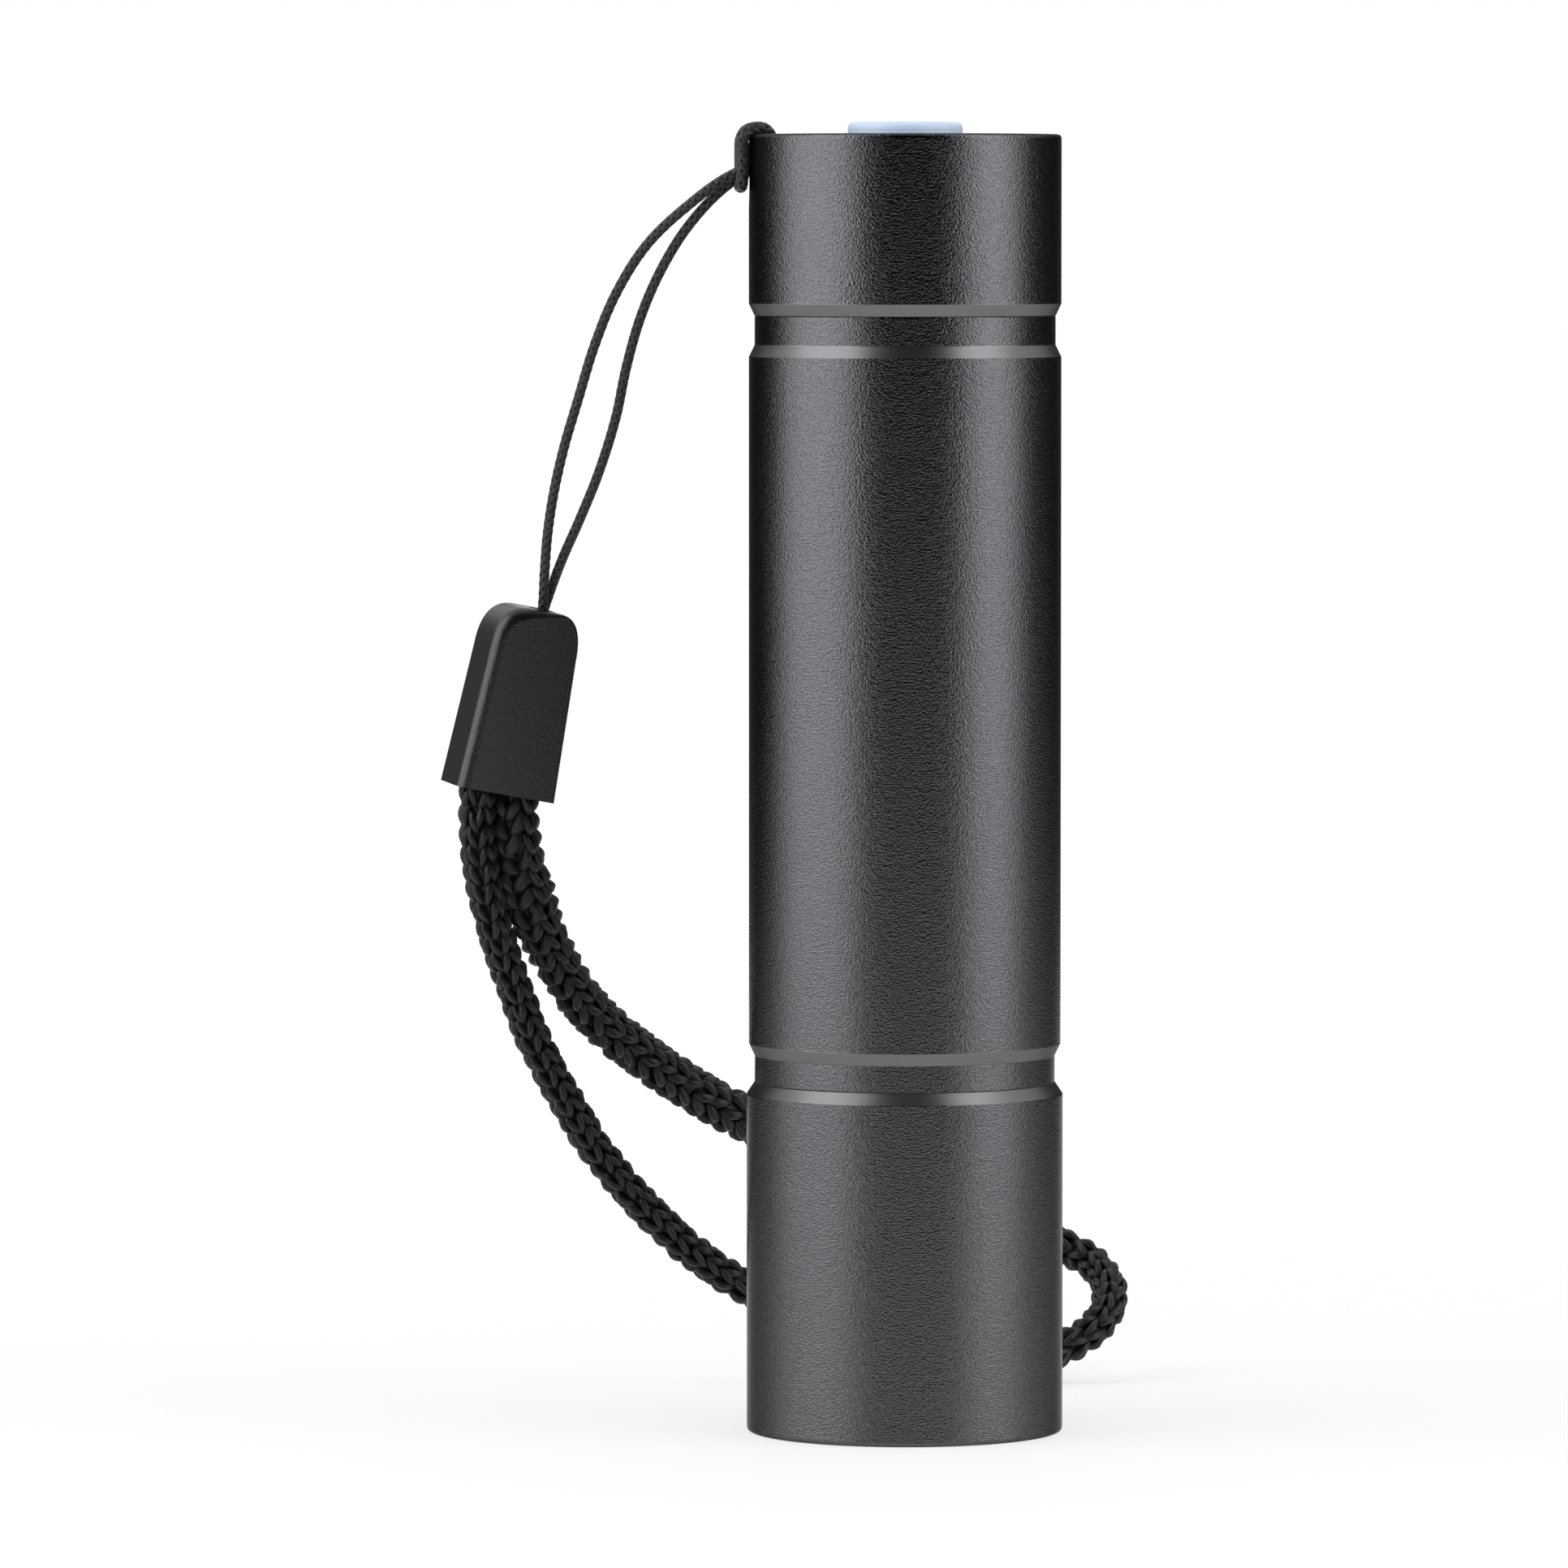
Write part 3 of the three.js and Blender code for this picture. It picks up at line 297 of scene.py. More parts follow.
def new_cord(name, tubes, slot, node):
    """A piece of yarns on the tail cap, which keeps each vertex's place on its own yarn."""
    vertices, faces, places = tubes
    made = new_piece(name, vertices, faces, "tail_cap", slot, node)
    attribute = made.data.attributes.new(YARN_PLACE, "FLOAT_VECTOR", "POINT")
    attribute.data.foreach_set("vector", places.ravel())
    print(name, "has", len(vertices), "vertices and", len(faces), "faces")
    return made


# %% [markdown]
# ## The string, braided
# The string is a thin round braid: four strands wind one way and four the other, and each goes over one and
# under one. A helix per strand gives the winding, and a small wave in its distance from the middle gives
# the over and under, opposite for the two directions. A core fills what the strands leave open. A slack
# braid swells where it is bent hard, so the string is a little thicker in the hitch.

# %% Braid the string
STRING_DIAMETER = 0.9 * MM
BRAID_STRANDS_EACH_WAY = 4
BRAID_PITCH = 3.4 * MM
STRAND_HALF_WIDTH = 0.2 * MM
STRAND_HALF_HEIGHT = 0.08 * MM
STRAND_WAVE = 0.015 * MM
STRAND_STEP = 0.14 * MM
STRAND_SIDES = 6
STRING_CORE_RADIUS = 0.3 * MM
STRING_CORE_SIDES = 10
HITCH_SWELL = 0.3
HITCH_HALF_LENGTH = 9.5 * MM
HITCH_FADE = 3.0 * MM


def core_tube(form, radius, sides, press=None):
    """A plain round tube along a cord's whole line."""
    along = form.along[None, ::2]
    _, outs = form.around(along, np.zeros_like(along), np.full_like(along, radius))
    size = np.full_like(along, radius)
    pressing = press and (lambda vertices: press(form, along, vertices))
    return yarn_tubes(form.at(form.line, along), outs, size, size, sides, pressing)


def hitch_swell(form, along):
    """How much thicker the string is at these distances along it. It is thickest in the hitch."""
    from_middle = np.abs(along - form.length / 2)
    return 1 + HITCH_SWELL * np.clip((HITCH_HALF_LENGTH - from_middle) / HITCH_FADE, 0.0, 1.0)


def braided_strands(form):
    """The strands of both directions, each over one and under one."""
    stops = np.linspace(0.0, form.length, round(form.length / STRAND_STEP) + 1)
    strand = np.arange(BRAID_STRANDS_EACH_WAY)[:, None] * 2 * np.pi / BRAID_STRANDS_EACH_WAY
    winding = stops[None] * 2 * np.pi / BRAID_PITCH
    angle = np.concatenate([strand + winding, strand - winding])
    wave = np.cos(BRAID_STRANDS_EACH_WAY * winding) * STRAND_WAVE
    middle = STRING_DIAMETER / 2 - STRAND_WAVE - STRAND_HALF_HEIGHT
    reach = middle + np.repeat(np.concatenate([wave, -wave]), BRAID_STRANDS_EACH_WAY, axis=0)
    along = np.broadcast_to(stops, angle.shape)
    swell = hitch_swell(form, along)
    centres, outs = form.around(along, angle, reach * swell)
    return yarn_tubes(centres, outs, STRAND_HALF_WIDTH * swell, STRAND_HALF_HEIGHT * swell, STRAND_SIDES)


string_yarns = joined(
    core_tube(string_form, STRING_CORE_RADIUS, STRING_CORE_SIDES), braided_strands(string_form)
)
string = new_cord("lanyard_string_braid", string_yarns, "string_fabric", "lanyard_string")

# %% [markdown]
# ## The wrist cord, knitted
# The wrist cord is a knitted tube. Each stitch shows as a V of two fat legs: a leg comes out of the stitch
# below it near the middle of its column, leans outwards as it climbs, and dives behind the next V. A bump
# map of that would leave the outline smooth, but the real cord has a knobbly edge, so every leg is a small
# leaf of yarn. Machines never pull two stitches quite alike, so each leg is moved a little by a seeded
# random number. The tube is hollow, and where it returns to the clip it has been pressed flat, so its
# stitches spread sideways there.

# %% The knit's sizes
WRIST_DIAMETER = 3.4 * MM
KNIT_COLUMNS = 5
KNIT_COURSE = 1.76 * MM
LEG_RINGS = 9
LEG_SIDES = 8
LEG_SPAN = 1.25
LEG_INNER, LEG_OUTER = 0.07, 0.48
LEG_HALF_WIDTH = 0.36 * MM
LEG_HALF_HEIGHT = 0.42 * MM
LEG_DIVE = 0.55 * MM
LEG_TAPER = 0.55
LEG_CREST = 1.2
LEG_CURL = 1.2
LEG_FULLNESS = 0.6
LEG_TIP = 0.04
LEG_LOOSENESS = 0.5
KNIT_JITTER = 0.09
KNIT_SEED = 11
KNIT_CORE_RADIUS = 0.85 * MM
KNIT_CORE_SIDES = 14
print("knit:", KNIT_COLUMNS, "columns of stitches,", round(KNIT_COURSE / MM, 2), "mm a stitch")

# %% Press the cord flat
# How much the pressed cord widens to its left and right, at these shares of its length.
FLAT_AT = [0.62, 0.70, 0.895, 0.915, 0.935, 0.955, 0.98, 1.0]
FLAT_LEFT = [0.0, 0.45, 0.40, 0.60, 1.25, 1.15, 0.85, 0.40]
FLAT_RIGHT = [0.0, 0.17, 0.15, 0.20, 0.30, 0.05, 0.05, 0.05]


def flattened(form, along, vertices):
    """Vertices moved sideways where the cord is pressed flat, by shares of their distance from its middle."""
    across = unit(np.cross(form.at(form.headings, along), (0.0, 1.0, 0.0)))[:, :, None]
    offset = ((vertices - form.at(form.line, along)[:, :, None]) * across).sum(axis=-1)
    share = (along / form.length)[..., None]
    spread = np.where(offset > 0, np.interp(share, FLAT_AT, FLAT_LEFT), np.interp(share, FLAT_AT, FLAT_RIGHT))
    return vertices + across * (offset * spread)[..., None]


# %% Knit the wrist cord
random = np.random.default_rng(KNIT_SEED)


def knitted_legs(form):
    """Both legs of every stitch, as leaves that rise out of the cord and dive into it again."""
    courses = int(form.length / KNIT_COURSE - LEG_SPAN)
    course, column, side = np.meshgrid(
        np.arange(courses), np.arange(KNIT_COLUMNS), (-1.0, 1.0), indexing="ij"
    )
    course, column, side = (grid.reshape(-1, 1) for grid in (course, column, side))
    jitter = random.normal(0.0, KNIT_JITTER, (3, len(course), 1))
    t = np.linspace(0.0, 1.0, LEG_RINGS)[None]
    bulge = np.sin(np.pi * np.clip(t, LEG_TIP, 1 - LEG_TIP) ** LEG_CREST) ** LEG_FULLNESS
    lean = LEG_INNER + (LEG_OUTER - LEG_INNER) * t**LEG_CURL + jitter[0]
    angle = (column + side * lean) * 2 * np.pi / KNIT_COLUMNS
    along = (course + LEG_SPAN * (1 - t) + jitter[1]) * KNIT_COURSE
    loose = LEG_LOOSENESS * LEG_HALF_HEIGHT * jitter[2]
    reach = WRIST_DIAMETER / 2 - LEG_HALF_HEIGHT - LEG_DIVE * (1 - bulge) + loose
    centres, outs = form.around(along, angle, reach)
    swell = LEG_TAPER + (1 - LEG_TAPER) * bulge + np.zeros_like(lean)
    return yarn_tubes(
        centres, outs, LEG_HALF_WIDTH * swell, LEG_HALF_HEIGHT * swell, LEG_SIDES,
        lambda vertices: flattened(form, along, vertices),
    )


knit_yarns = joined(
    core_tube(wrist_form, KNIT_CORE_RADIUS, KNIT_CORE_SIDES, flattened), knitted_legs(wrist_form)
)
wrist_cord = new_cord("wrist_cord_knit", knit_yarns, "cord_fabric", "wrist_cord")

# %% [markdown]
# ## Clip
# The clip is one moulded block that grows wider towards its foot, with long soft corners at its top. Only
# the front left edge is well rounded: it shows as a bright line because it turns through every angle
# between two faces. So the block is a stack of outlines, each drawn in a little from the widest, by more
# where the edge is rounder.

# %% The clip's sizes and place
CLIP_LENGTH = 16.5
CLIP_FOOT = 9.0
CLIP_TOP = 7.9
CLIP_THICKNESS = 5.5
CLIP_CORNERS = {1: (2.2, 4.0), -1: (2.9, 4.2)}
CLIP_CORNER_STEPS = 12
CLIP_EDGE = 0.25
CLIP_SOFT_EDGE = 1.15
SOFT_EDGE_END, EDGE_BEGIN = -1.5, 0.5
EDGE_STEPS = 8
CLIP_CENTRE = Vector((-34.1, 16.0, -49.6))
CLIP_TILT, CLIP_ROLL = math.radians(11.3), math.radians(20.0)
clip_place = (
    Matrix.Scale(MM, 4)
    @ Matrix.Translation(CLIP_CENTRE + Vector((0, 0, tail_face / MM)))
    @ Matrix.Rotation(CLIP_TILT, 4, "Y")
    @ Matrix.Rotation(CLIP_ROLL, 4, "Z")
)
print("clip", CLIP_LENGTH, "mm long, tilted by", round(math.degrees(CLIP_TILT), 1), "degrees")

# %% Mould the clip
def clip_outline():
    """The clip's widest outline in mm, from the right of the foot over the top to the left of the foot."""
    foot, top, high = CLIP_FOOT / 2, CLIP_TOP / 2, CLIP_LENGTH / 2
    t = np.linspace(0.0, 1.0, CLIP_CORNER_STEPS + 1)
    halves = []
    for side, (wide, tall) in CLIP_CORNERS.items():
        corner = np.column_stack([side * (top - wide * t**2), high - tall * (1 - t) ** 2])
        halves.append(np.concatenate([[(side * foot, -high)], corner]))
    return np.concatenate([halves[0], halves[1][::-1]])


def clip_block():
    """Vertices and faces of the solid clip in its own frame, in mm."""
    outline = clip_outline()
    ways = np.gradient(outline, axis=0)
    outward = unit(np.column_stack([ways[:, 1], -ways[:, 0]]))
    # At the foot the outline is drawn in sideways only, so that the foot stays flat.
    outward[[0, -1], 1] = 0.0
    front_edge = np.interp(outline[:, 0], (SOFT_EDGE_END, EDGE_BEGIN), (CLIP_SOFT_EDGE, CLIP_EDGE))
    back_edge = np.full_like(front_edge, CLIP_EDGE)
    turns = np.linspace(0.0, np.pi / 2, EDGE_STEPS + 1)
    rings = []
    for face, edge, angles in ((-1, front_edge, turns), (1, back_edge, turns[::-1])):
        for angle in angles:
            drawn_in = outline - outward * (edge * (1 - np.sin(angle)))[:, None]
            depth = face * (CLIP_THICKNESS / 2 - edge * (1 - np.cos(angle)))
            rings.append(np.column_stack([drawn_in[:, 0], depth, drawn_in[:, 1]]))
    index = np.arange(len(rings) * len(outline)).reshape(len(rings), len(outline))
    walls = np.stack([index[:-1, :-1], index[1:, :-1], index[1:, 1:], index[:-1, 1:]], axis=-1)
    front, back = index[0].tolist(), index[-1, ::-1].tolist()
    foot_face = [*index[:, -1], *index[::-1, 0]]
    return np.concatenate(rings), [*walls.reshape(-1, 4).tolist(), front, back, foot_face]


clip_points, clip_faces = clip_block()
clip = new_piece(
    "lanyard_clip_moulded", [clip_place @ Vector(p) for p in clip_points], clip_faces,
    "tail_cap", "clip_plastic", "lanyard_clip",
)
print("clip moulded with", len(clip.data.polygons), "faces")

# %% [markdown]
# ### Pocket and string hole
# The clip's foot has a long pocket for the wrist cord and its top a hole for the string. The mould has
# cores there. Here both are cut out with Booleans, and weighted normals keep the flat faces flat after the
# cuts.

# %% Cut a shape out of a piece
def cut_away(piece, cutter):
    """Takes a closed cutter out of a piece and throws the cutter away."""
    boolean = piece.modifiers.new("cut", "BOOLEAN")
    boolean.object = cutter
    boolean.solver = "EXACT"
    result = bpy.data.meshes.new_from_object(piece.evaluated_get(bpy.context.evaluated_depsgraph_get()))
    piece.modifiers.clear()
    piece.data = result
    bpy.data.objects.remove(cutter)


def new_cutter(form, matrix):
    """A hidden object made of a bmesh, for one cut."""
    form.transform(matrix)
    mesh = bpy.data.meshes.new("cutter")
    form.to_mesh(mesh)
    form.free()
    cutter = bpy.data.objects.new("cutter", mesh)
    bpy.context.scene.collection.objects.link(cutter)
    return cutter


# %% Open the clip's pocket and string hole
LEG_SPACING = 3.8
POCKET_CLEARANCE = 0.2
POCKET_DEPTH = 3.2
STRING_HOLE_RADIUS = 1.4
STRING_HOLE_DEPTH = 2.8
STRING_HOLE_OFFSET = 1.0
CUT_OVERRUN = 1.0
HOLE_STEPS = 48
SHARP_ANGLE = math.radians(40)


def pocket_cutter():
    """A long slot with round ends that takes both legs of the wrist cord."""
    radius = WRIST_DIAMETER / MM / 2 + POCKET_CLEARANCE
    slot = bmesh.new()
    ring = []
    for step in range(HOLE_STEPS):
        angle = 2 * math.pi * (step + 0.5) / HOLE_STEPS
        shift = math.copysign(LEG_SPACING / 2, math.cos(angle))
        ring.append(slot.verts.new((
            shift + radius * math.cos(angle), radius * math.sin(angle), -CLIP_LENGTH / 2 - CUT_OVERRUN,
        )))
    made = bmesh.ops.extrude_face_region(slot, geom=[slot.faces.new(ring)])["geom"]
    top = [v for v in made if isinstance(v, bmesh.types.BMVert)]
    bmesh.ops.translate(slot, verts=top, vec=(0, 0, CUT_OVERRUN + POCKET_DEPTH))
    bmesh.ops.recalc_face_normals(slot, faces=slot.faces)
    return slot


bore_depth = STRING_HOLE_DEPTH + CUT_OVERRUN
bore_middle = CLIP_LENGTH / 2 - STRING_HOLE_DEPTH + bore_depth / 2
string_bore = bmesh.new()
bmesh.ops.create_cone(
    string_bore, cap_ends=True, segments=HOLE_STEPS, radius1=STRING_HOLE_RADIUS, radius2=STRING_HOLE_RADIUS,
    depth=bore_depth, matrix=Matrix.Translation((STRING_HOLE_OFFSET, 0, bore_middle)),
)
cut_away(clip, new_cutter(pocket_cutter(), clip_place))
cut_away(clip, new_cutter(string_bore, clip_place))
clip.data.set_sharp_from_angle(angle=SHARP_ANGLE)
clip.modifiers.new("flat_faces", "WEIGHTED_NORMAL").keep_sharp = True
print("clip opened,", len(clip.data.polygons), "faces")

# %% [markdown]
# ### Two soft cords
# The cords are limp, so whoever uses the torch again may want to lay them another way. The clip is a
# separate piece on the string.

# %% The two cords
print("two cords, joined by the clip")

# %% [markdown]
# ## Turned metal
# Head, barrel and tail cap come off a lathe, so each is a profile turned about the torch's axis. A lathe
# leaves no perfectly sharp edge: each corner of a profile has its own small rounding, which is what catches
# the light. Two points held close to a rounding keep the smooth shading from bleeding into the long
# straight faces. A corner can also name the finish of the face after it: blasted, cut later with a sharp
# tool, or a plain end face.

# %% Round a profile's corners
BLASTED, CUT, END_FACE = 0, 1, 2
ROUND_STEPS = 4
ROUNDING_ROOM = 0.4
HOLD = 0.03


def finish_after(corner):
    """The finish of the face after a corner, which is blasted unless the corner names one."""
    return corner[3] if len(corner) > 3 else BLASTED


def eased(corners):
    """A profile's points in mm with its corners rounded, and the finish of the face after each point."""
    points, face_finishes = [], []
    for before, corner, after in zip(corners[-1:] + corners[:-1], corners, corners[1:] + corners[:1]):
        middle = Vector(corner[:2])
        back = Vector(before[:2]) - middle
        ahead = Vector(after[:2]) - middle
        turn = math.pi - back.angle(ahead)
        room = ROUNDING_ROOM * min(back.length, ahead.length)
        reach = min(corner[2] * math.tan(turn / 2), room)
        rounding = [middle]
        if reach > 0:
            start = middle + back.normalized() * reach
            end = middle + ahead.normalized() * reach
            rounding = [
                start * (1 - t) ** 2 + middle * 2 * t * (1 - t) + end * t**2
                for t in (step / ROUND_STEPS for step in range(ROUND_STEPS + 1))
            ]
            rounding.insert(0, start + back.normalized() * min(HOLD, room))
            rounding.append(end + ahead.normalized() * min(HOLD, room))
        points += rounding
        face_finishes += [finish_after(before)] * (len(rounding) - 1) + [finish_after(corner)]
    return points, face_finishes


# %% Turn a profile
TURN_STEPS = 180
WELD_DISTANCE = 1e-7


def turned(name, corners, body, slot, *nodes):
    """A closed profile of (radius, height, rounding, finish) corners in mm, anticlockwise, turned about Z."""
    points, face_finishes = eased(corners)
    count = len(points)
    angles = [2 * math.pi * step / TURN_STEPS for step in range(TURN_STEPS)]
    vertices = [
        (p.x * math.cos(angle) * MM, p.x * math.sin(angle) * MM, p.y * MM)
        for angle in angles for p in points
    ]
    faces = []
    for step in range(TURN_STEPS):
        here, there = step * count, (step + 1) % TURN_STEPS * count
        for i in range(count):
            j = (i + 1) % count
            faces.append((here + i, there + i, there + j, here + j))
    made = new_piece(name, vertices, faces, body, slot, *nodes)
    made.data.polygons.foreach_set("material_index", face_finishes * TURN_STEPS)
    welded = bmesh.new()
    welded.from_mesh(made.data)
    bmesh.ops.remove_doubles(welded, verts=welded.verts, dist=WELD_DISTANCE)
    welded.to_mesh(made.data)
    welded.free()
    made.data.set_sharp_from_angle(angle=SHARP_ANGLE)
    print(name, "turned from", len(corners), "corners,", len(made.data.polygons), "faces")
    return made


def arc(middle, height, radius, angles):
    """Corners with no rounding on an arc, at these angles above the level, for a profile in mm."""
    return [(middle + radius * math.cos(angle), height + radius * math.sin(angle), 0.0) for angle in angles]


def span(node):
    """A turned CAD node's outer radius, bottom and top, in mm."""
    low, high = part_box(node)
    return high.x / MM, low.z / MM, high.z / MM


# %% [markdown]
# ## Head
# The head is one shell: a bezel lip at the bottom with a bevelled mouth, a plain wall and a chamfer that
# makes the lower edge of the front groove. The chamfers were cut after blasting, so they have a finish of
# their own.

# %% Turn the head
EDGE = 0.06
CHAMFER = 0.9
CHAMFER_REACH = 0.15
GROOVE_DEPTH = 0.5
RIM_ROUNDING = 0.4
HEAD_WALL = 1.3
BEZEL_LAND = 1.4
BEZEL_LIP = 1.6
BEZEL_BEVEL = 0.7
body_radius, barrel_bottom, barrel_top = span("barrel_tube")
head_radius, head_bottom, head_top = span("head_shell")
neck_radius = body_radius - GROOVE_DEPTH
head_bore = head_radius - HEAD_WALL
bezel_mouth = head_bore - BEZEL_LAND
turned("head_shell_turned", [
    (bezel_mouth, head_bottom + BEZEL_BEVEL, EDGE, CUT),
    (bezel_mouth + BEZEL_BEVEL, head_bottom, EDGE),
    (head_radius, head_bottom, RIM_ROUNDING),
    (head_radius, head_top - CHAMFER, EDGE, CUT),
    (neck_radius, head_top + CHAMFER_REACH, EDGE),
    (head_bore, head_top + CHAMFER_REACH, EDGE),
    (head_bore, head_bottom + BEZEL_LIP, EDGE),
    (bezel_mouth, head_bottom + BEZEL_LIP, EDGE),
], "torch_body", "anodised_aluminium", "head_shell")

# %% [markdown]
# ## Barrel
# The barrel's two ends are slimmer necks, which show as the floors of the grooves. Inside it steps down to
# a shoulder that stops the battery cage, and its rear mouth is bored out for the tail cap's thread. The
# seams at both ends are drawn tighter than the CAD's clearance, as the screwed parts press on each other
# there.

# %% Turn the barrel
SEAM = 0.1
SEAM_SEEN = 0.02
FRONT_GROOVE = 2.6
REAR_GROOVE = 2.8
SPIGOT_STEP = 0.9
SPIGOT_WALL = 1.7
SEAL_DEPTH = 0.9
SEAL_WIDTH = 1.5
SEAL_SETBACK = 1.0
BARREL_WALL = 1.9
THREAD_DEPTH = 0.5
THREAD_LENGTH = 7.4
CAGE_SHOULDER = 8.0
front_spigot = neck_radius - SPIGOT_STEP
front_bore = front_spigot - SPIGOT_WALL
bore = body_radius - BARREL_WALL
thread_bore = bore + THREAD_DEPTH
neck_top = barrel_top + SEAM
grip_bottom = head_top + FRONT_GROOVE
grip_top = neck_top - REAR_GROOVE
front_seal = head_top - SEAL_SETBACK - SEAL_WIDTH
turned("barrel_tube_turned", [
    (front_bore, barrel_bottom, EDGE),
    (front_spigot, barrel_bottom, EDGE),
    (front_spigot, front_seal, EDGE),
    (front_spigot - SEAL_DEPTH, front_seal, EDGE),
    (front_spigot - SEAL_DEPTH, front_seal + SEAL_WIDTH, EDGE),
    (front_spigot, front_seal + SEAL_WIDTH, EDGE),
    (front_spigot, head_top + CHAMFER_REACH + SEAM_SEEN, EDGE),
    (neck_radius, head_top + CHAMFER_REACH + SEAM_SEEN, EDGE),
    (neck_radius, grip_bottom - CHAMFER_REACH, EDGE, CUT),
    (body_radius, grip_bottom + CHAMFER, EDGE),
    (body_radius, grip_top - CHAMFER, EDGE, CUT),
    (neck_radius, grip_top + CHAMFER_REACH, EDGE),
    (neck_radius, neck_top - CHAMFER_REACH - SEAM_SEEN, EDGE),
    (thread_bore, neck_top - CHAMFER_REACH - SEAM_SEEN, EDGE),
    (thread_bore, neck_top - THREAD_LENGTH, EDGE),
    (bore, neck_top - THREAD_LENGTH, EDGE),
    (bore, barrel_bottom + CAGE_SHOULDER, EDGE),
    (front_bore, barrel_bottom + CAGE_SHOULDER, EDGE),
], "torch_body", "anodised_aluminium", "barrel_tube")

# %% [markdown]
# ## Tail cap
# The tail cap carries the switch, the lanyard hole and a male thread that only shows when the cap is
# unscrewed. It is turned like the head and the barrel, and its flat end face has a finish of its own.

# %% Turn the tail cap
TAIL_SPIGOT_WALL = 2.0
TAIL_END_WALL = 2.0
SPIGOT_LEAD = 0.3
SWITCH_SHOULDER = 1.0
SWITCH_CAVITY = 11.5
BUTTON_FLANGE = 1.6
BUTTON_GAP = 0.2
MOUTH_ROUNDING = 0.15
THREAD_GAP = 0.3
tail_radius, spigot_end, tail_top = span("tail_cap")
flange_radius, button_bottom, button_top = span("button")
button_radius = flange_radius - BUTTON_FLANGE
tail_spigot = thread_bore - THREAD_GAP
tail_bore = tail_spigot - TAIL_SPIGOT_WALL
switch_bore = tail_bore - SWITCH_SHOULDER
switch_ceiling = tail_top - TAIL_END_WALL
rear_seal = neck_top - SEAL_SETBACK - SEAL_WIDTH
tail = turned("tail_cap_turned", [
    (tail_bore, spigot_end, EDGE),
    (tail_spigot, spigot_end, SPIGOT_LEAD),
    (tail_spigot, rear_seal, EDGE),
    (tail_spigot - SEAL_DEPTH, rear_seal, EDGE),
    (tail_spigot - SEAL_DEPTH, rear_seal + SEAL_WIDTH, EDGE),
    (tail_spigot, rear_seal + SEAL_WIDTH, EDGE),
    (tail_spigot, neck_top - CHAMFER_REACH, EDGE),
    (neck_radius, neck_top - CHAMFER_REACH, EDGE, CUT),
    (tail_radius, neck_top + CHAMFER, EDGE),
    (tail_radius, tail_top, RIM_ROUNDING, END_FACE),
    (button_radius + BUTTON_GAP, tail_top, MOUTH_ROUNDING),
    (button_radius + BUTTON_GAP, switch_ceiling, EDGE),
    (switch_bore, switch_ceiling, EDGE),
    (switch_bore, switch_ceiling - SWITCH_CAVITY, EDGE),
    (tail_bore, switch_ceiling - SWITCH_CAVITY, EDGE),
], "tail_cap", "anodised_aluminium", "tail_cap")

# %% [markdown]
# ### Lanyard hole
# The hole is drilled at a slant, in through the flat tail face and out through the side. A turned profile
# can't have it, so it is cut with a Boolean afterwards, much as a drill would cut it.

# %% Drill the lanyard hole
HOLE_RADIUS = 1.2
HOLE_INSET = 2.4
HOLE_DROP = 4.0
HOLE_OVERRUN = 3.0
# This angle keeps the hole's rim sharp and the rounding of the tail's rim smooth.
DRILLED_SHARP_ANGLE = math.radians(30)
slant = math.atan2(HOLE_INSET, HOLE_DROP)
drill = bmesh.new()
bmesh.ops.create_cone(
    drill, cap_ends=True, segments=HOLE_STEPS, radius1=HOLE_RADIUS * MM, radius2=HOLE_RADIUS * MM,
    depth=(math.hypot(HOLE_INSET, HOLE_DROP) + 2 * HOLE_OVERRUN) * MM,
)
hole_middle = Vector((HOLE_INSET / 2 - tail_radius, 0.0, tail_top - HOLE_DROP / 2)) * MM
cut_away(tail, new_cutter(drill, Matrix.Translation(hole_middle) @ Matrix.Rotation(slant, 4, "Y")))
tail.data.set_sharp_from_angle(angle=DRILLED_SHARP_ANGLE)
print("tail cap drilled at", round(math.degrees(slant), 1), "degrees,", len(tail.data.polygons), "faces")

# %% [markdown]
# ## Thread and seal
# When the cap is unscrewed, a few turns of thread and the O-ring come into sight. The thread is one helical
# ridge that fades out at both ends. It is thinner than the clearance in the barrel, so it never touches the
# bore.

# %% Cut the thread
THREAD_PITCH = 1.0
THREAD_HEIGHT = 0.2
THREAD_SUNK = 0.06
THREAD_HALF_WIDTH = 0.36
THREAD_HALF_CREST = 0.1
THREAD_RUN_OUT = 0.25
THREAD_MARGIN = 0.5
THREAD_STEPS = 72
THREAD_SHARP_ANGLE = math.radians(30)


def thread_ridge(bottom, top):
    """Vertices and faces of a helical ridge round the tail spigot, closed at both ends."""
    turns = (top - bottom) / THREAD_PITCH
    count = int(turns * THREAD_STEPS)
    run_out = THREAD_RUN_OUT * THREAD_STEPS
    vertices, faces = [], []
    for step in range(count + 1):
        angle = 2 * math.pi * step / THREAD_STEPS
        height = bottom + THREAD_PITCH * step / THREAD_STEPS
        rise = THREAD_HEIGHT * min(1.0, step / run_out, (count - step) / run_out)
        section = [
            (-THREAD_SUNK, -THREAD_HALF_WIDTH), (rise, -THREAD_HALF_CREST),
            (rise, THREAD_HALF_CREST), (-THREAD_SUNK, THREAD_HALF_WIDTH),
        ]
        for out, up in section:
            radius = tail_spigot + out
            corner = Vector((radius * math.cos(angle), radius * math.sin(angle), height + up))
            vertices.append(corner * MM)
    for step in range(count):
        here, there = 4 * step, 4 * (step + 1)
        for i in range(4):
            j = (i + 1) % 4
            faces.append((here + i, there + i, there + j, here + j))
    faces.append((3, 2, 1, 0))
    faces.append(tuple(4 * count + i for i in range(4)))
    return vertices, faces


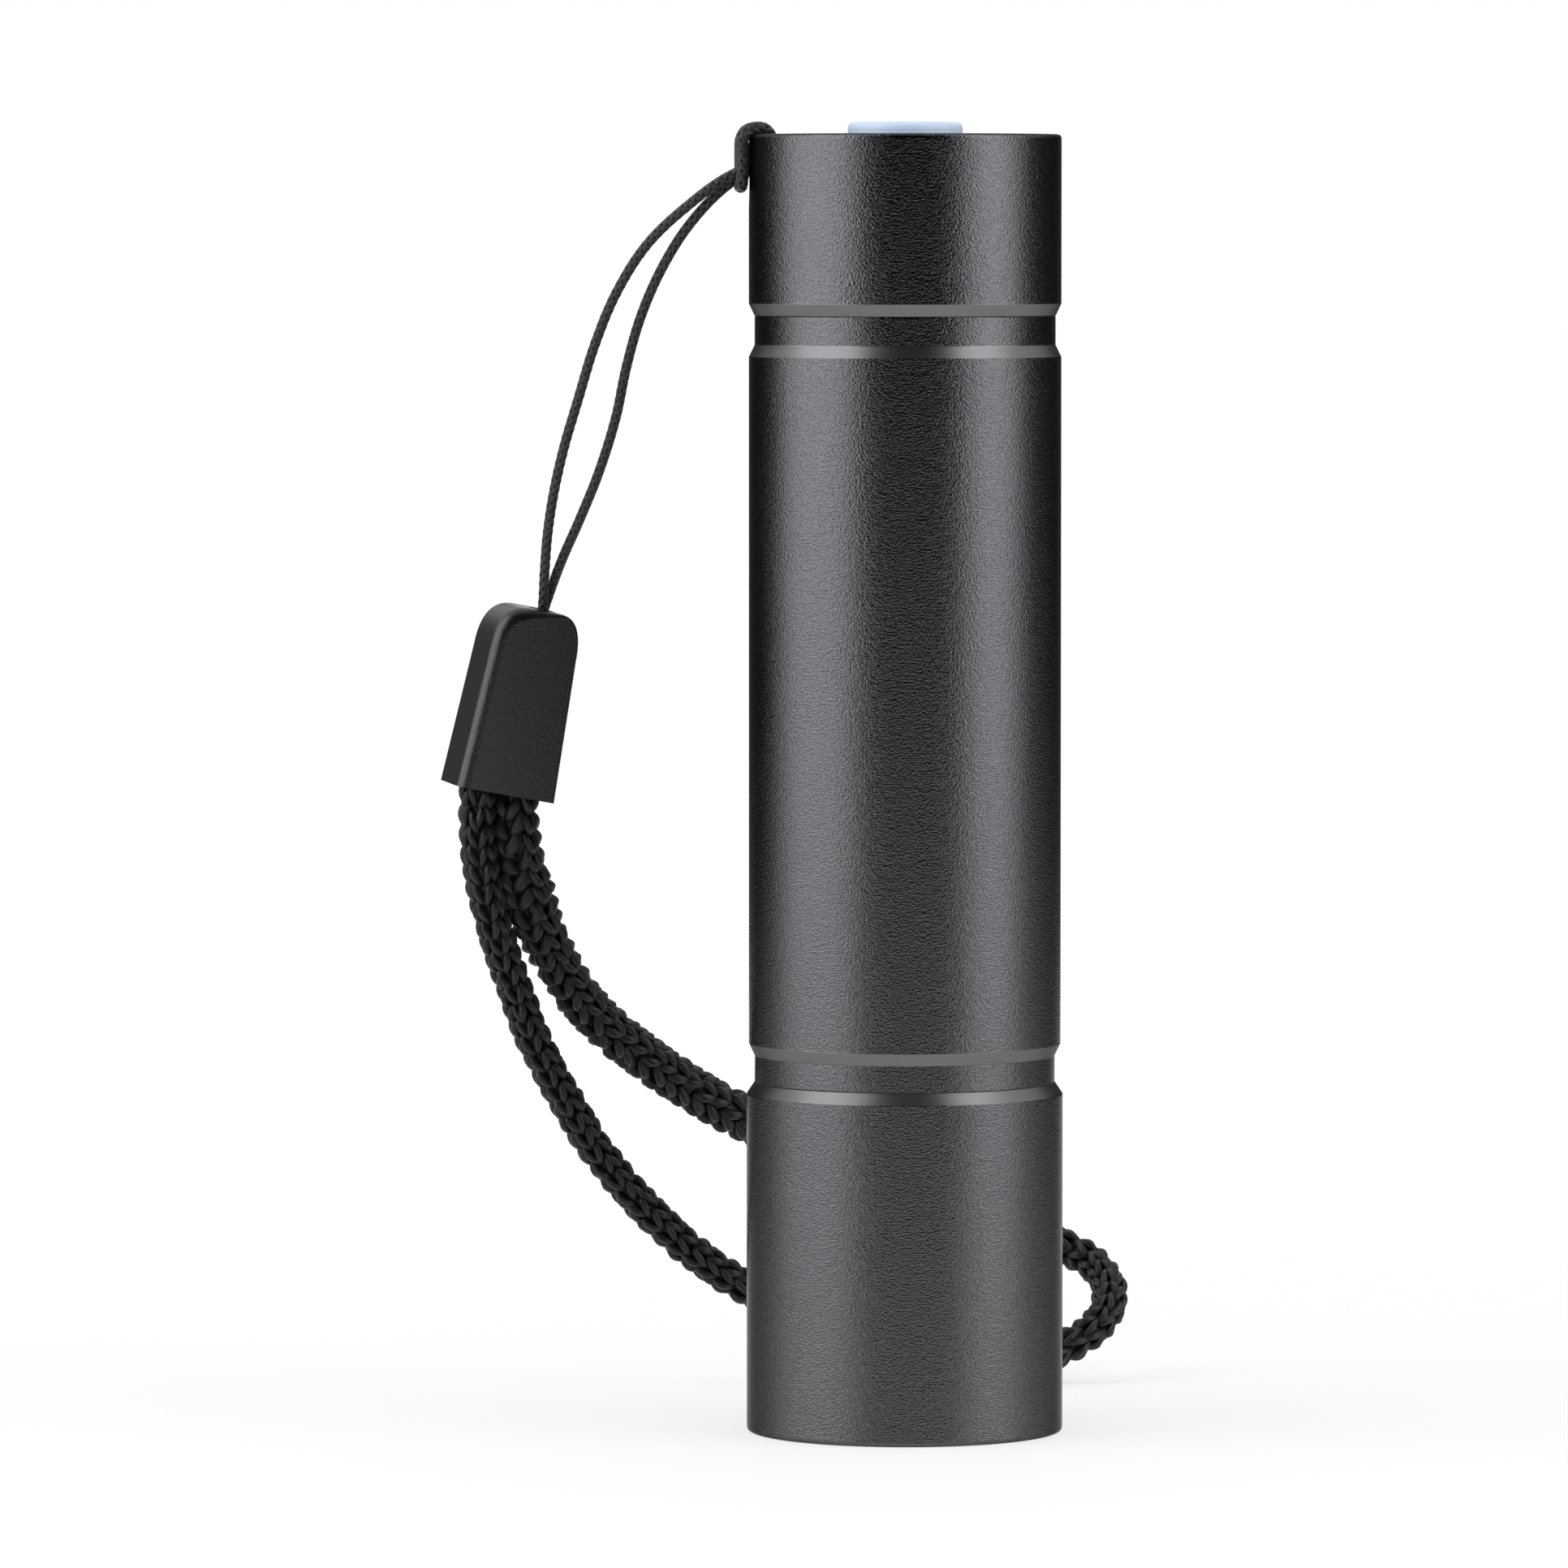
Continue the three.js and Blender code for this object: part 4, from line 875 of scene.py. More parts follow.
ridge_vertices, ridge_faces = thread_ridge(spigot_end + THREAD_MARGIN, rear_seal - THREAD_MARGIN)
thread = new_piece("tail_cap_thread", ridge_vertices, ridge_faces, "tail_cap", "anodised_aluminium")
thread.data.set_sharp_from_angle(angle=THREAD_SHARP_ANGLE)
print("thread ridge with", len(ridge_faces), "faces")

# %% Lay the seal
SEAL_STEPS = 24
seal_radius, seal_bottom, seal_top = span("tail_o_ring")
seal_half = (seal_top - seal_bottom) / 2
seal_angles = [2 * math.pi * step / SEAL_STEPS for step in range(SEAL_STEPS)]
seal_section = arc(seal_radius - seal_half, (seal_top + seal_bottom) / 2, seal_half, seal_angles)
turned("tail_o_ring_moulded", seal_section, "tail_seal", "seal_rubber", "tail_o_ring")

# %% [markdown]
# ## Button
# The button is a moulded disc with a soft rim and a very slight crown, held in by a flange under the tail
# face.

# %% Turn the button
BUTTON_ROUNDING = 0.6
BUTTON_CROWN = 0.06
CROWN_ROUNDING = 2.0
FLANGE_TOP = 1.5
FLANGE_EDGE = 0.1
turned("button_moulded", [
    (0.0, button_bottom, 0.0),
    (flange_radius, button_bottom, FLANGE_EDGE),
    (flange_radius, button_bottom + FLANGE_TOP, FLANGE_EDGE),
    (button_radius, button_bottom + FLANGE_TOP, FLANGE_EDGE),
    (button_radius, button_top - BUTTON_CROWN, BUTTON_ROUNDING),
    (button_radius / 2, button_top - BUTTON_CROWN / 4, CROWN_ROUNDING),
    (0.0, button_top, 0.0),
], "tail_button", "button_plastic", "button")

# %% [markdown]
# ## Switch spring
# Under the button, inside the cap, a coil spring pushes back. It gives way when the button goes down, with
# its foot on the switch. Here it is wound at the length of the CAD's spring and rides on the tail cap.

# %% Wind the switch spring
SPRING_WIRE = 0.35
SPRING_TURNS = 3
SPRING_STEPS = 32
SPRING_SIDES = 10
WIRE_SHARP_ANGLE = math.radians(60)
spring_radius, spring_bottom, spring_top = span("switch_spring")
winding = np.linspace(0.0, 2 * np.pi * SPRING_TURNS, SPRING_STEPS * SPRING_TURNS + 1)
spring_outs = np.column_stack([np.cos(winding), np.sin(winding), np.zeros_like(winding)])
spring_line = spring_outs * (spring_radius - SPRING_WIRE / 2)
spring_line[:, 2] = np.linspace(spring_bottom + SPRING_WIRE / 2, spring_top - SPRING_WIRE / 2, len(winding))
wire_size = np.full((1, len(winding)), SPRING_WIRE / 2 * MM)
wire = yarn_tubes(spring_line[None] * MM, spring_outs[None], wire_size, wire_size, SPRING_SIDES)
spring = new_piece("switch_spring_wound", *wire[:2], "tail_cap", "spring_steel", "switch_spring")
spring.data.set_sharp_from_angle(angle=WIRE_SHARP_ANGLE)
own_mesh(spring)

# %% [markdown]
# ## Lens and reflector
# They only show from below. The reflector is a paraboloid: its radius squared grows evenly from the
# emitter's hole to the mouth, so light from the hole leaves in a beam.

# %% Turn the lens and the reflector
LENS_EDGE = 0.2
REFLECTOR_FLANGE = 1.2
REFLECTOR_FLANGE_THICKNESS = 1.0
REFLECTOR_WALL = 1.0
EMITTER_HOLE = 2.9
DISH_STEPS = 28
lens_radius, lens_bottom, lens_top = span("lens")
turned("lens_polished", [
    (0.0, lens_bottom, 0.0),
    (lens_radius, lens_bottom, LENS_EDGE),
    (lens_radius, lens_top, LENS_EDGE / 2),
    (0.0, lens_top, 0.0),
], "torch_body", "lens_clear", "lens")
dish_rim, dish_bottom, dish_top = span("reflector")
dish_mouth = dish_rim - REFLECTOR_FLANGE


def dish_radius(height):
    """The paraboloid's radius at a height."""
    share = (dish_top - height) / (dish_top - dish_bottom)
    return math.sqrt(EMITTER_HOLE**2 + (dish_mouth**2 - EMITTER_HOLE**2) * share)


flange_top = dish_bottom + REFLECTOR_FLANGE_THICKNESS
climb = [flange_top + (dish_top - flange_top) * step / DISH_STEPS for step in range(DISH_STEPS + 1)]
fall = [dish_top + (dish_bottom - dish_top) * step / DISH_STEPS for step in range(DISH_STEPS + 1)]
turned("reflector_coated", [
    (dish_rim, dish_bottom, EDGE),
    (dish_rim, flange_top, EDGE),
    *[(dish_radius(height) + REFLECTOR_WALL, height, 0.0) for height in climb],
    *[(dish_radius(height), height, 0.0) for height in fall],
], "torch_body", "reflector_mirror", "reflector")

# %% [markdown]
# ### Emitter
# The emitter is a square ceramic package with a yellow phosphor under a clear dome. The CAD has one plain
# solid for it. Here it is two bevelled blocks and a turned half ball, so that each can have a finish of its
# own.

# %% Build the emitter
PACKAGE_HALF = 1.7
PACKAGE_HEIGHT = 0.62
PACKAGE_BEVEL = 0.12
PHOSPHOR_HALF = 1.05
PHOSPHOR_HEIGHT = 0.14
PHOSPHOR_SUNK = 0.05
PHOSPHOR_BEVEL = 0.05
BEVEL_STEPS = 3
DOME_STEPS = 14


def square_block(half, bottom, top, bevel):
    """A bevelled square block as vertices and faces, in metres."""
    block = bmesh.new()
    bmesh.ops.create_cube(block, size=1.0)
    size = Matrix.Diagonal((2 * half, 2 * half, top - bottom, 1.0))
    block.transform(Matrix.Scale(MM, 4) @ Matrix.Translation((0, 0, (top + bottom) / 2)) @ size)
    bmesh.ops.bevel(
        block, geom=block.edges[:], offset=bevel * MM, segments=BEVEL_STEPS, profile=0.5, affect="EDGES",
    )
    block.verts.index_update()
    shape = [v.co.copy() for v in block.verts], [[v.index for v in face.verts] for face in block.faces]
    block.free()
    return shape


_, dome_bottom, package_top = span("led_emitter")
package_bottom = package_top - PACKAGE_HEIGHT
package_shape = square_block(PACKAGE_HALF, package_bottom, package_top, PACKAGE_BEVEL)
new_piece("led_package", *package_shape, "torch_body", "white_plastic", "led_emitter")
phosphor_shape = square_block(
    PHOSPHOR_HALF, package_bottom - PHOSPHOR_HEIGHT, package_bottom + PHOSPHOR_SUNK, PHOSPHOR_BEVEL,
)
new_piece("led_phosphor_tile", *phosphor_shape, "torch_body", "led_phosphor")
dome_radius = package_bottom - dome_bottom
dome_angles = [-0.5 * math.pi * step / DOME_STEPS for step in reversed(range(DOME_STEPS + 1))]
dome_section = [(0.0, package_bottom, 0.0), *arc(0.0, package_bottom, dome_radius, dome_angles)]
turned("led_dome", dome_section, "torch_body", "lens_clear")
print("emitter package", 2 * PACKAGE_HALF, "mm wide, dome radius", round(dome_radius, 2), "mm")

# %% [markdown]
# ## Materials
# Every finish starts from what the real one is and how it was made. Colours are written as sRGB hex values,
# as one reads them off a swatch, and turned to the linear numbers that Cycles wants. One small function
# adds a node. Pattern scales come from real sizes: a noise with a feature of f millimetres has a scale of
# 1000 / f, because the objects are in metres.

# %% Colours and nodes
def linear(hex_colour):
    """Linear RGBA of an sRGB hex colour such as "#2b2a2e"."""
    parts = [int(hex_colour[i:i + 2], 16) / 255 for i in (1, 3, 5)]
    return [p / 12.92 if p <= 0.04045 else ((p + 0.055) / 1.055) ** 2.4 for p in parts] + [1.0]


def add(tree, kind, inputs=None, **settings):
    """Adds one node. An input, by name or number, takes a value or another node's output, which is linked."""
    made = tree.nodes.new(kind)
    for name, value in settings.items():
        setattr(made, name, value)
    for name, value in (inputs or {}).items():
        if isinstance(value, bpy.types.NodeSocket):
            tree.links.new(value, made.inputs[name])
        else:
            made.inputs[name].default_value = value
    return made


def new_finish(name, **constants):
    """A material with one Principled shader, whose constants are set on its own sockets."""
    material = bpy.data.materials.new(name)
    material.use_nodes = True
    shader = material.node_tree.nodes["Principled BSDF"]
    for socket, value in constants.items():
        shader.inputs[socket.replace("_", " ")].default_value = value
    return material, material.node_tree, shader


def feed(tree, node, outputs):
    """Links outputs to a node's sockets of these names."""
    for socket, output in outputs.items():
        tree.links.new(output, node.inputs[socket])


print("colour check: #808080 is", round(linear("#808080")[0], 3), "in linear light")

# %% A noise of a real size
def features(millimetres):
    """The scale of a noise in object space whose features have this size."""
    return 1 / (millimetres * MM)


def grained_finish(name, dark, light, grain, depth, gloss, detail, **constants):
    """A finish with one noise, of these sizes in mm along X, Y and Z. It goes into colour, roughness, which
    stays in the range of gloss, and bump, whose depth is in mm."""
    material, tree, shader = new_finish(name, **constants)
    place = add(tree, "ShaderNodeTexCoord").outputs["Object"]
    sized = add(tree, "ShaderNodeMapping", {"Vector": place, "Scale": [features(size) for size in grain]})
    noise = add(tree, "ShaderNodeTexNoise", {
        "Vector": sized.outputs["Vector"], "Scale": 1.0, "Detail": detail,
    }).outputs["Fac"]
    tint = add(tree, "ShaderNodeMix", {
        "Factor": noise, "A": linear(dark), "B": linear(light),
    }, data_type="RGBA")
    dull = add(tree, "ShaderNodeMapRange", {"Value": noise, "To Min": gloss[0], "To Max": gloss[1]})
    bump = add(tree, "ShaderNodeBump", {"Distance": depth * MM, "Height": noise})
    feed(tree, shader, {
        "Base Color": tint.outputs["Result"],
        "Roughness": dull.outputs["Result"],
        "Normal": bump.outputs["Normal"],
    })
    return material


finishes = {}
print("a noise with features of 1 mm has a scale of", round(features(1.0)))

# %% [markdown]
# ### Anodised aluminium, bead blasted
# The body was turned, blasted with fine beads and dyed black in the anodising bath. Turning leaves faint
# rings, and blasting leaves a grain that sparkles where the light falls off. The oxide is a dyed film over
# metal, so it shines as metal does but returns only a few percent of the light. Real grit leaves dents of
# near 0.05 mm, far finer than a pixel, so the grain is drawn at 0.18 mm. Part of the sparkle is painted:
# the grain's dents are coloured darker, as painted shade, and its peaks lighter, as painted glints. The tail
# face is seen at low angles, where a bump map flattens out, so there most of the grain is written as
# roughness instead.

# %% Blasted black aluminium
GRAIN_SIZE = 0.18
GRAIN_DEPTH = 0.073
GRAIN_GLOSS = (0.13, 0.19)
END_DEPTH = 0.02
END_GLOSS = (0.5, 0.58)
TURNING_SIZE = 0.1
TURNING_LENGTH = 0.8
TURNING_SHARE = 0.28
# Painted shade and glints: between these grain levels the colour runs from darker dents to lighter peaks.
PIT, PEAK = 0.35, 0.65
PAINTED_DENT_SHADE, PAINTED_PEAK_GLINT = "#504f52", "#5c5b5e"
# Metal turns white at low angles, but the dyed film stays grey.
FILM_EDGE = "#a0a0a0"


def blasted_finish(name, depth, gloss):
    """Black anodised metal with a grain of this depth in mm, whose roughness stays in the range of gloss."""
    material, tree, shader = new_finish(name, Metallic=1.0, Specular_Tint=linear(FILM_EDGE))
    place = add(tree, "ShaderNodeTexCoord").outputs["Object"]
    grain = add(tree, "ShaderNodeTexNoise", {
        "Vector": place, "Scale": features(GRAIN_SIZE), "Detail": 2.0,
    }).outputs["Fac"]
    stretch = add(tree, "ShaderNodeMapping", {
        "Vector": place,
        "Scale": (features(TURNING_LENGTH), features(TURNING_LENGTH), features(TURNING_SIZE)),
    })
    rings = add(tree, "ShaderNodeTexNoise", {
        "Vector": stretch.outputs["Vector"], "Scale": 1.0, "Detail": 1.0,
    }).outputs["Fac"]
    relief = add(tree, "ShaderNodeMix", {"Factor": TURNING_SHARE, "A": grain, "B": rings}, data_type="FLOAT")
    bump = add(tree, "ShaderNodeBump", {"Distance": depth * MM, "Height": relief.outputs["Result"]})
    # Painted sparkle: the grain's dents are coloured darker, as shade, and its peaks lighter, as glints.
    painted_sparkle = add(tree, "ShaderNodeMapRange", {"Value": grain, "From Min": PIT, "From Max": PEAK})
    tint = add(tree, "ShaderNodeMix", {
        "Factor": painted_sparkle.outputs["Result"], "A": linear(PAINTED_DENT_SHADE), "B": linear(PAINTED_PEAK_GLINT),
    }, data_type="RGBA")
    dull = add(tree, "ShaderNodeMapRange", {"Value": grain, "To Min": gloss[0], "To Max": gloss[1]})
    feed(tree, shader, {
        "Base Color": tint.outputs["Result"],
        "Roughness": dull.outputs["Result"],
        "Normal": bump.outputs["Normal"],
    })
    return material


finishes["anodised_aluminium"] = blasted_finish("anodised_aluminium_blasted", GRAIN_DEPTH, GRAIN_GLOSS)
end_finish = blasted_finish("anodised_aluminium_end_face", END_DEPTH, END_GLOSS)
print("blasted grain", GRAIN_SIZE, "mm, turning lines", TURNING_SIZE, "mm apart")

# %% [markdown]
# ### The chamfers, cut after blasting
# A sharp tool cut the grooves' chamfers last, so they have no blasted grain, only its fine rings. Their
# colour is a little lighter and more even than the walls beside them.

# %% Cut black aluminium
CUT_RING = 0.12
CUT_RING_LENGTH = 6.0
cut_finish = grained_finish(
    "anodised_aluminium_cut", "#6a696c", "#747375", grain=(CUT_RING_LENGTH, CUT_RING_LENGTH, CUT_RING),
    depth=0.002, gloss=(0.28, 0.36), detail=1.0, Metallic=1.0, Specular_Tint=linear(FILM_EDGE),
)
print("chamfers have rings", CUT_RING, "mm apart")

# %% [markdown]
# ### Polyester and nylon yarns
# The wrist cord is knitted from textured polyester and the string is braided from nylon. Both are bundles
# of fine filaments that run along the yarn, so they shine a little along it and stay dark between. A real
# filament is 0.02 mm thick, far below a pixel, so bundles of them are drawn 0.18 mm wide. Part of that shine
# and shade is painted: each bundle's colour is lighter on its crest and darker in the gaps, following its
# bump. The coordinates are the yarn places that were stored with the mesh, so the filaments follow each leg
# and each strand.

# %% Yarn finishes
FILAMENT = 0.18
FILAMENT_LENGTH = 1.6
FILAMENT_SLANT = 0.05
# Between these filament levels the colour runs from painted shade in the gaps to painted sheen on the crests.
FILAMENT_DARK, FILAMENT_LIGHT = 0.35, 0.70
YARN_OFFSET = 3.7


def yarn_finish(name, dark, light, girth, depth, **constants):
    """Dark yarn of this girth in mm, whose filaments run along it."""
    material, tree, shader = new_finish(
        name, Sheen_Roughness=0.45, Sheen_Tint=linear("#9a9aa2"), **constants,
    )
    place = add(tree, "ShaderNodeAttribute", attribute_name=YARN_PLACE).outputs["Vector"]
    strands = add(tree, "ShaderNodeMapping", {
        "Vector": place, "Scale": (girth / FILAMENT, 1 / FILAMENT_LENGTH, YARN_OFFSET),
        "Rotation": (0.0, 0.0, FILAMENT_SLANT),
    })
    filaments = add(tree, "ShaderNodeTexNoise", {
        "Vector": strands.outputs["Vector"], "Scale": 1.0, "Detail": 2.0,
    }).outputs["Fac"]
    bump = add(tree, "ShaderNodeBump", {"Distance": depth * MM, "Height": filaments})
    # Painted sheen and shade: the filaments' crests are coloured lighter and the gaps between them darker.
    share = add(tree, "ShaderNodeMapRange", {
        "Value": filaments, "From Min": FILAMENT_DARK, "From Max": FILAMENT_LIGHT,
    })
    tint = add(tree, "ShaderNodeMix", {
        "Factor": share.outputs["Result"], "A": linear(dark), "B": linear(light),
    }, data_type="RGBA")
    feed(tree, shader, {"Base Color": tint.outputs["Result"], "Normal": bump.outputs["Normal"]})
    return material


finishes["cord_fabric"] = yarn_finish(
    "polyester_yarn_knitted", "#050506", "#19191c", girth=2.2, depth=0.12,
    Roughness=0.4, Specular_IOR_Level=0.32, Sheen_Weight=0.06,
)
finishes["string_fabric"] = yarn_finish(
    "nylon_yarn_braided", "#1d1b1f", "#2d2a30", girth=0.8, depth=0.015,
    Roughness=0.5, Specular_IOR_Level=0.4, Sheen_Weight=0.12,
)
print("filament bundles drawn", FILAMENT, "mm wide")

# %% [markdown]
# ### Moulded plastics
# Most of them came out of a steel mould, and the mould's surface decides the gloss. The clip's mould was
# spark eroded, which gives a fine matt grain. The button's was polished and then dulled. The cage, the
# white parts and the seals hardly show, and their moulds had plain tool marks. The cells' film was shrunk
# on with hot air, which leaves soft waves. A noise at the grain's size goes into bump, roughness and colour
# alike. Spark grain is near 0.05 mm, too fine to show, so it is drawn at 0.2 mm.

# %% Plastic finishes
def moulded_finish(name, dark, light, grain_size, depth, gloss, **constants):
    """A moulded plastic, whose grain is as fine in every direction."""
    return grained_finish(name, dark, light, [grain_size] * 3, depth, gloss, detail=3.0, **constants)


finishes["clip_plastic"] = moulded_finish(
    "abs_spark_eroded", "#0a0a10", "#13131a", grain_size=0.2, depth=0.03, gloss=(0.27, 0.35), IOR=1.54,
    Specular_IOR_Level=0.55,
)
finishes["button_plastic"] = moulded_finish(
    "polycarbonate_moulded_pale_blue", "#b7c9e0", "#c0d0e5", grain_size=0.5, depth=0.001, gloss=(0.42, 0.5),
    IOR=1.58,
)
finishes["cage_plastic"] = moulded_finish(
    "nylon_moulded_black", "#19191b", "#242427", grain_size=0.3, depth=0.008, gloss=(0.45, 0.6), IOR=1.53,
)
finishes["white_plastic"] = moulded_finish(
    "ceramic_and_nylon_white", "#e3e1dc", "#efede9", grain_size=0.2, depth=0.004, gloss=(0.4, 0.55), IOR=1.53,
)
finishes["led_phosphor"] = moulded_finish(
    "phosphor_in_silicone", "#d9bd3c", "#efd968", grain_size=0.12, depth=0.006, gloss=(0.5, 0.65), IOR=1.41,
)
finishes["seal_rubber"] = moulded_finish(
    "nitrile_rubber_greased", "#101011", "#1c1c1e", grain_size=0.25, depth=0.006, gloss=(0.28, 0.5), IOR=1.52,
)
finishes["cell_wrap"] = moulded_finish(
    "pvc_film_shrunk_grey", "#767b81", "#858a90", grain_size=1.5, depth=0.02, gloss=(0.22, 0.34), IOR=1.54,
)
print("finishes with the plastics:", len(finishes))

# %% [markdown]
# ### Inner metals
# Springs, contacts, heat sink and reflector are bare metal. Each has its own colour and the marks of how it
# was made: turning and stamping leave marks that run one way, plating and coating leave even ones.

# %% Metal finishes
def metal_finish(name, dark, light, mark, depth, gloss):
    """A bare metal with marks of three sizes in mm along X, Y and Z."""
    return grained_finish(name, dark, light, mark, depth, gloss, detail=2.0, Metallic=1.0)


finishes["bare_aluminium"] = metal_finish(
    "aluminium_turned", "#c4c6c8", "#d3d5d7", mark=(4.0, 4.0, 0.15), depth=0.004, gloss=(0.25, 0.4),
)
finishes["reflector_mirror"] = metal_finish(
    "aluminium_vacuum_coated", "#e6e8ea", "#eef0f1", mark=(0.8, 0.8, 0.8), depth=0.001, gloss=(0.04, 0.09),
)
finishes["spring_steel"] = metal_finish(
    "steel_wire_nickel_plated", "#bfc1c2", "#d0d1d1", mark=(0.3, 0.3, 0.3), depth=0.003, gloss=(0.2, 0.32),
)
finishes["contact_brass"] = metal_finish(
    "brass_stamped", "#c29f4d", "#d3b568", mark=(0.15, 3.0, 3.0), depth=0.003, gloss=(0.25, 0.38),
)
print("finishes with the metals:", len(finishes))

# %% [markdown]
# ### Circuit boards
# The boards are fibreglass with green solder mask over copper tracks, which stand a little proud and look
# lighter. They are hidden inside, so a brick pattern with rows as wide as real tracks is enough.

# %% Circuit board
TRACK_WIDTH = 0.5
TRACK_LENGTH = 2.4
TRACK_GAP = 0.12
TRACK_EDGE = 0.3
TRACK_HEIGHT = 0.035
material, tree, shader = new_finish("fibreglass_solder_mask_green", Roughness=0.38, IOR=1.52)
place = add(tree, "ShaderNodeTexCoord").outputs["Object"]
tracks = add(tree, "ShaderNodeTexBrick", {
    "Vector": place, "Scale": features(1.0), "Mortar Size": TRACK_GAP, "Mortar Smooth": TRACK_EDGE,
    "Brick Width": TRACK_LENGTH, "Row Height": TRACK_WIDTH,
}).outputs["Fac"]
tint = add(tree, "ShaderNodeMix", {
    "Factor": tracks, "A": linear("#2c6b43"), "B": linear("#1c4f30"),
}, data_type="RGBA")
bump = add(tree, "ShaderNodeBump", {"Distance": TRACK_HEIGHT * MM, "Height": tracks}, invert=True)
feed(tree, shader, {"Base Color": tint.outputs["Result"], "Normal": bump.outputs["Normal"]})
finishes["circuit_board"] = material
print("tracks", TRACK_WIDTH, "mm wide")

# %% [markdown]
# ### Clear acrylic
# The lens and the emitter's dome are polished, so they are smooth glass to the eye, with a few soft waves
# that the polishing left. They let the light through, so what shows is the reflector and the phosphor
# behind them.

# %% Acrylic finish
POLISH_WAVE = 3.0
POLISH_DEPTH = 0.002
material, tree, shader = new_finish(
    "acrylic_polished", Base_Color=linear("#f6fafa"), Roughness=0.02, IOR=1.49, Transmission_Weight=1.0,
)
place = add(tree, "ShaderNodeTexCoord").outputs["Object"]
waves = add(tree, "ShaderNodeTexNoise", {"Vector": place, "Scale": features(POLISH_WAVE)})
bump = add(tree, "ShaderNodeBump", {"Distance": POLISH_DEPTH * MM, "Height": waves.outputs["Fac"]})
feed(tree, shader, {"Normal": bump.outputs["Normal"]})
finishes["lens_clear"] = material
print("finishes for", len(finishes), "slots")

# %% [markdown]
# ## Dressing
# Every new piece and every CAD node that still shows takes the finish of its slot. The anodised shells also
# carry the finishes of their cut chamfers and of the tail's end face. CAD meshes stay as they are, only
# their material changes.

# %% Give every piece and node its finish
for piece, slot_name in pieces:
    piece.data.materials.append(finishes[slot_name])
    if slot_name == "anodised_aluminium":
        piece.data.materials.append(cut_finish)
        piece.data.materials.append(end_finish)
for subpart in frame["record"]["subparts"]:
    node = bpy.data.objects[subpart["node"]]
    for material_slot in node.material_slots:
        material_slot.material = finishes[subpart["material_slot"]]

# %% [markdown]
# ## Floor and background
# The background is plain white. Making it white with lamps would also bleach the torch, so the floor and
# the world show white to camera, glossy and transmission rays alone, at a strength of one. Close to the
# torch the floor is partly an ordinary pale surface, so that it still takes the torch's soft shadow. From
# below it lets the view through, because a camera that looks up at the lens has to see past it.

# %% Lay the floor
FLOOR_RADIUS = 0.9
FLOOR_STEPS = 96
FLOOR_DROP = 0.02
floor_form = bmesh.new()
bmesh.ops.create_circle(floor_form, cap_ends=True, segments=FLOOR_STEPS, radius=FLOOR_RADIUS)
floor_mesh = bpy.data.meshes.new("floor")
floor_form.to_mesh(floor_mesh)
floor_form.free()
floor = bpy.data.objects.new("floor", floor_mesh)
floor.location.z = -FLOOR_DROP * MM
bpy.context.scene.collection.objects.link(floor)
print("floor", 2 * FLOOR_RADIUS, "m across")

# %% The floor's finish
FLOOR_WHITE_NEAR = 0.65
FLOOR_NEAR, FLOOR_FAR = 0.05, 0.22


def background_rays(tree):
    """One for a ray that shows the background, and zero for light on the object."""
    path = add(tree, "ShaderNodeLightPath").outputs
    seen = add(tree, "ShaderNodeMath", {
        0: path["Is Camera Ray"], 1: path["Is Glossy Ray"],
    }, operation="MAXIMUM")
    through = add(tree, "ShaderNodeMath", {
        0: seen.outputs["Value"], 1: path["Is Transmission Ray"],
    }, operation="MAXIMUM")
    return through.outputs["Value"]


floor_finish, tree, shader = new_finish("paper_sweep_white", Base_Color=linear("#edecea"), Roughness=0.8)
place = add(tree, "ShaderNodeTexCoord").outputs["Object"]
distance = add(tree, "ShaderNodeVectorMath", {"Vector": place}, operation="LENGTH")
nearness = add(tree, "ShaderNodeMapRange", {
    "Value": distance.outputs["Value"], "From Min": FLOOR_NEAR, "From Max": FLOOR_FAR,
    "To Min": FLOOR_WHITE_NEAR, "To Max": 1.0,
}, interpolation_type="SMOOTHSTEP")
white_share = add(tree, "ShaderNodeMath", {
    0: nearness.outputs["Result"], 1: background_rays(tree),
}, operation="MULTIPLY")
white = add(tree, "ShaderNodeEmission")
clear = add(tree, "ShaderNodeBsdfTransparent")
above = add(tree, "ShaderNodeMixShader", {
    0: white_share.outputs["Value"], 1: shader.outputs["BSDF"], 2: white.outputs["Emission"],
})
side = add(tree, "ShaderNodeNewGeometry")
surface = add(tree, "ShaderNodeMixShader", {
    0: side.outputs["Backfacing"], 1: above.outputs["Shader"], 2: clear.outputs["BSDF"],
})
feed(tree, tree.nodes["Material Output"], {"Surface": surface.outputs["Shader"]})
floor.data.materials.append(floor_finish)
print("floor plain white from", FLOOR_FAR, "m outwards")

# %% [markdown]
# ### World
# The world stands for the pale walls of the studio. It gives an even light from all round, and a plain
# colour is enough for it, because softboxes and flags draw what the metal shows.

# %% Light the world
WORLD_FILL = 0.9
world = bpy.data.worlds.new("studio")
world.use_nodes = True
bpy.context.scene.world = world
tree = world.node_tree
fill = tree.nodes["Background"]
fill.inputs["Color"].default_value = linear("#ffffff")
fill.inputs["Strength"].default_value = WORLD_FILL
backdrop = add(tree, "ShaderNodeBackground", {"Color": linear("#ffffff"), "Strength": 1.0})
sky = add(tree, "ShaderNodeMixShader", {
    0: background_rays(tree), 1: fill.outputs["Background"], 2: backdrop.outputs["Background"],
})
feed(tree, tree.nodes["World Output"], {"Surface": sky.outputs["Shader"]})
print("world fill", WORLD_FILL)

# %% [markdown]
# ## Softboxes
# Black metal shows what stands round it, not light on it. Two tall softboxes at the sides draw the two
# bright bands down the barrel. Each is an area light that faces the torch. Its width is worked out from the
# angle that it fills, because that angle sets how wide its band is.

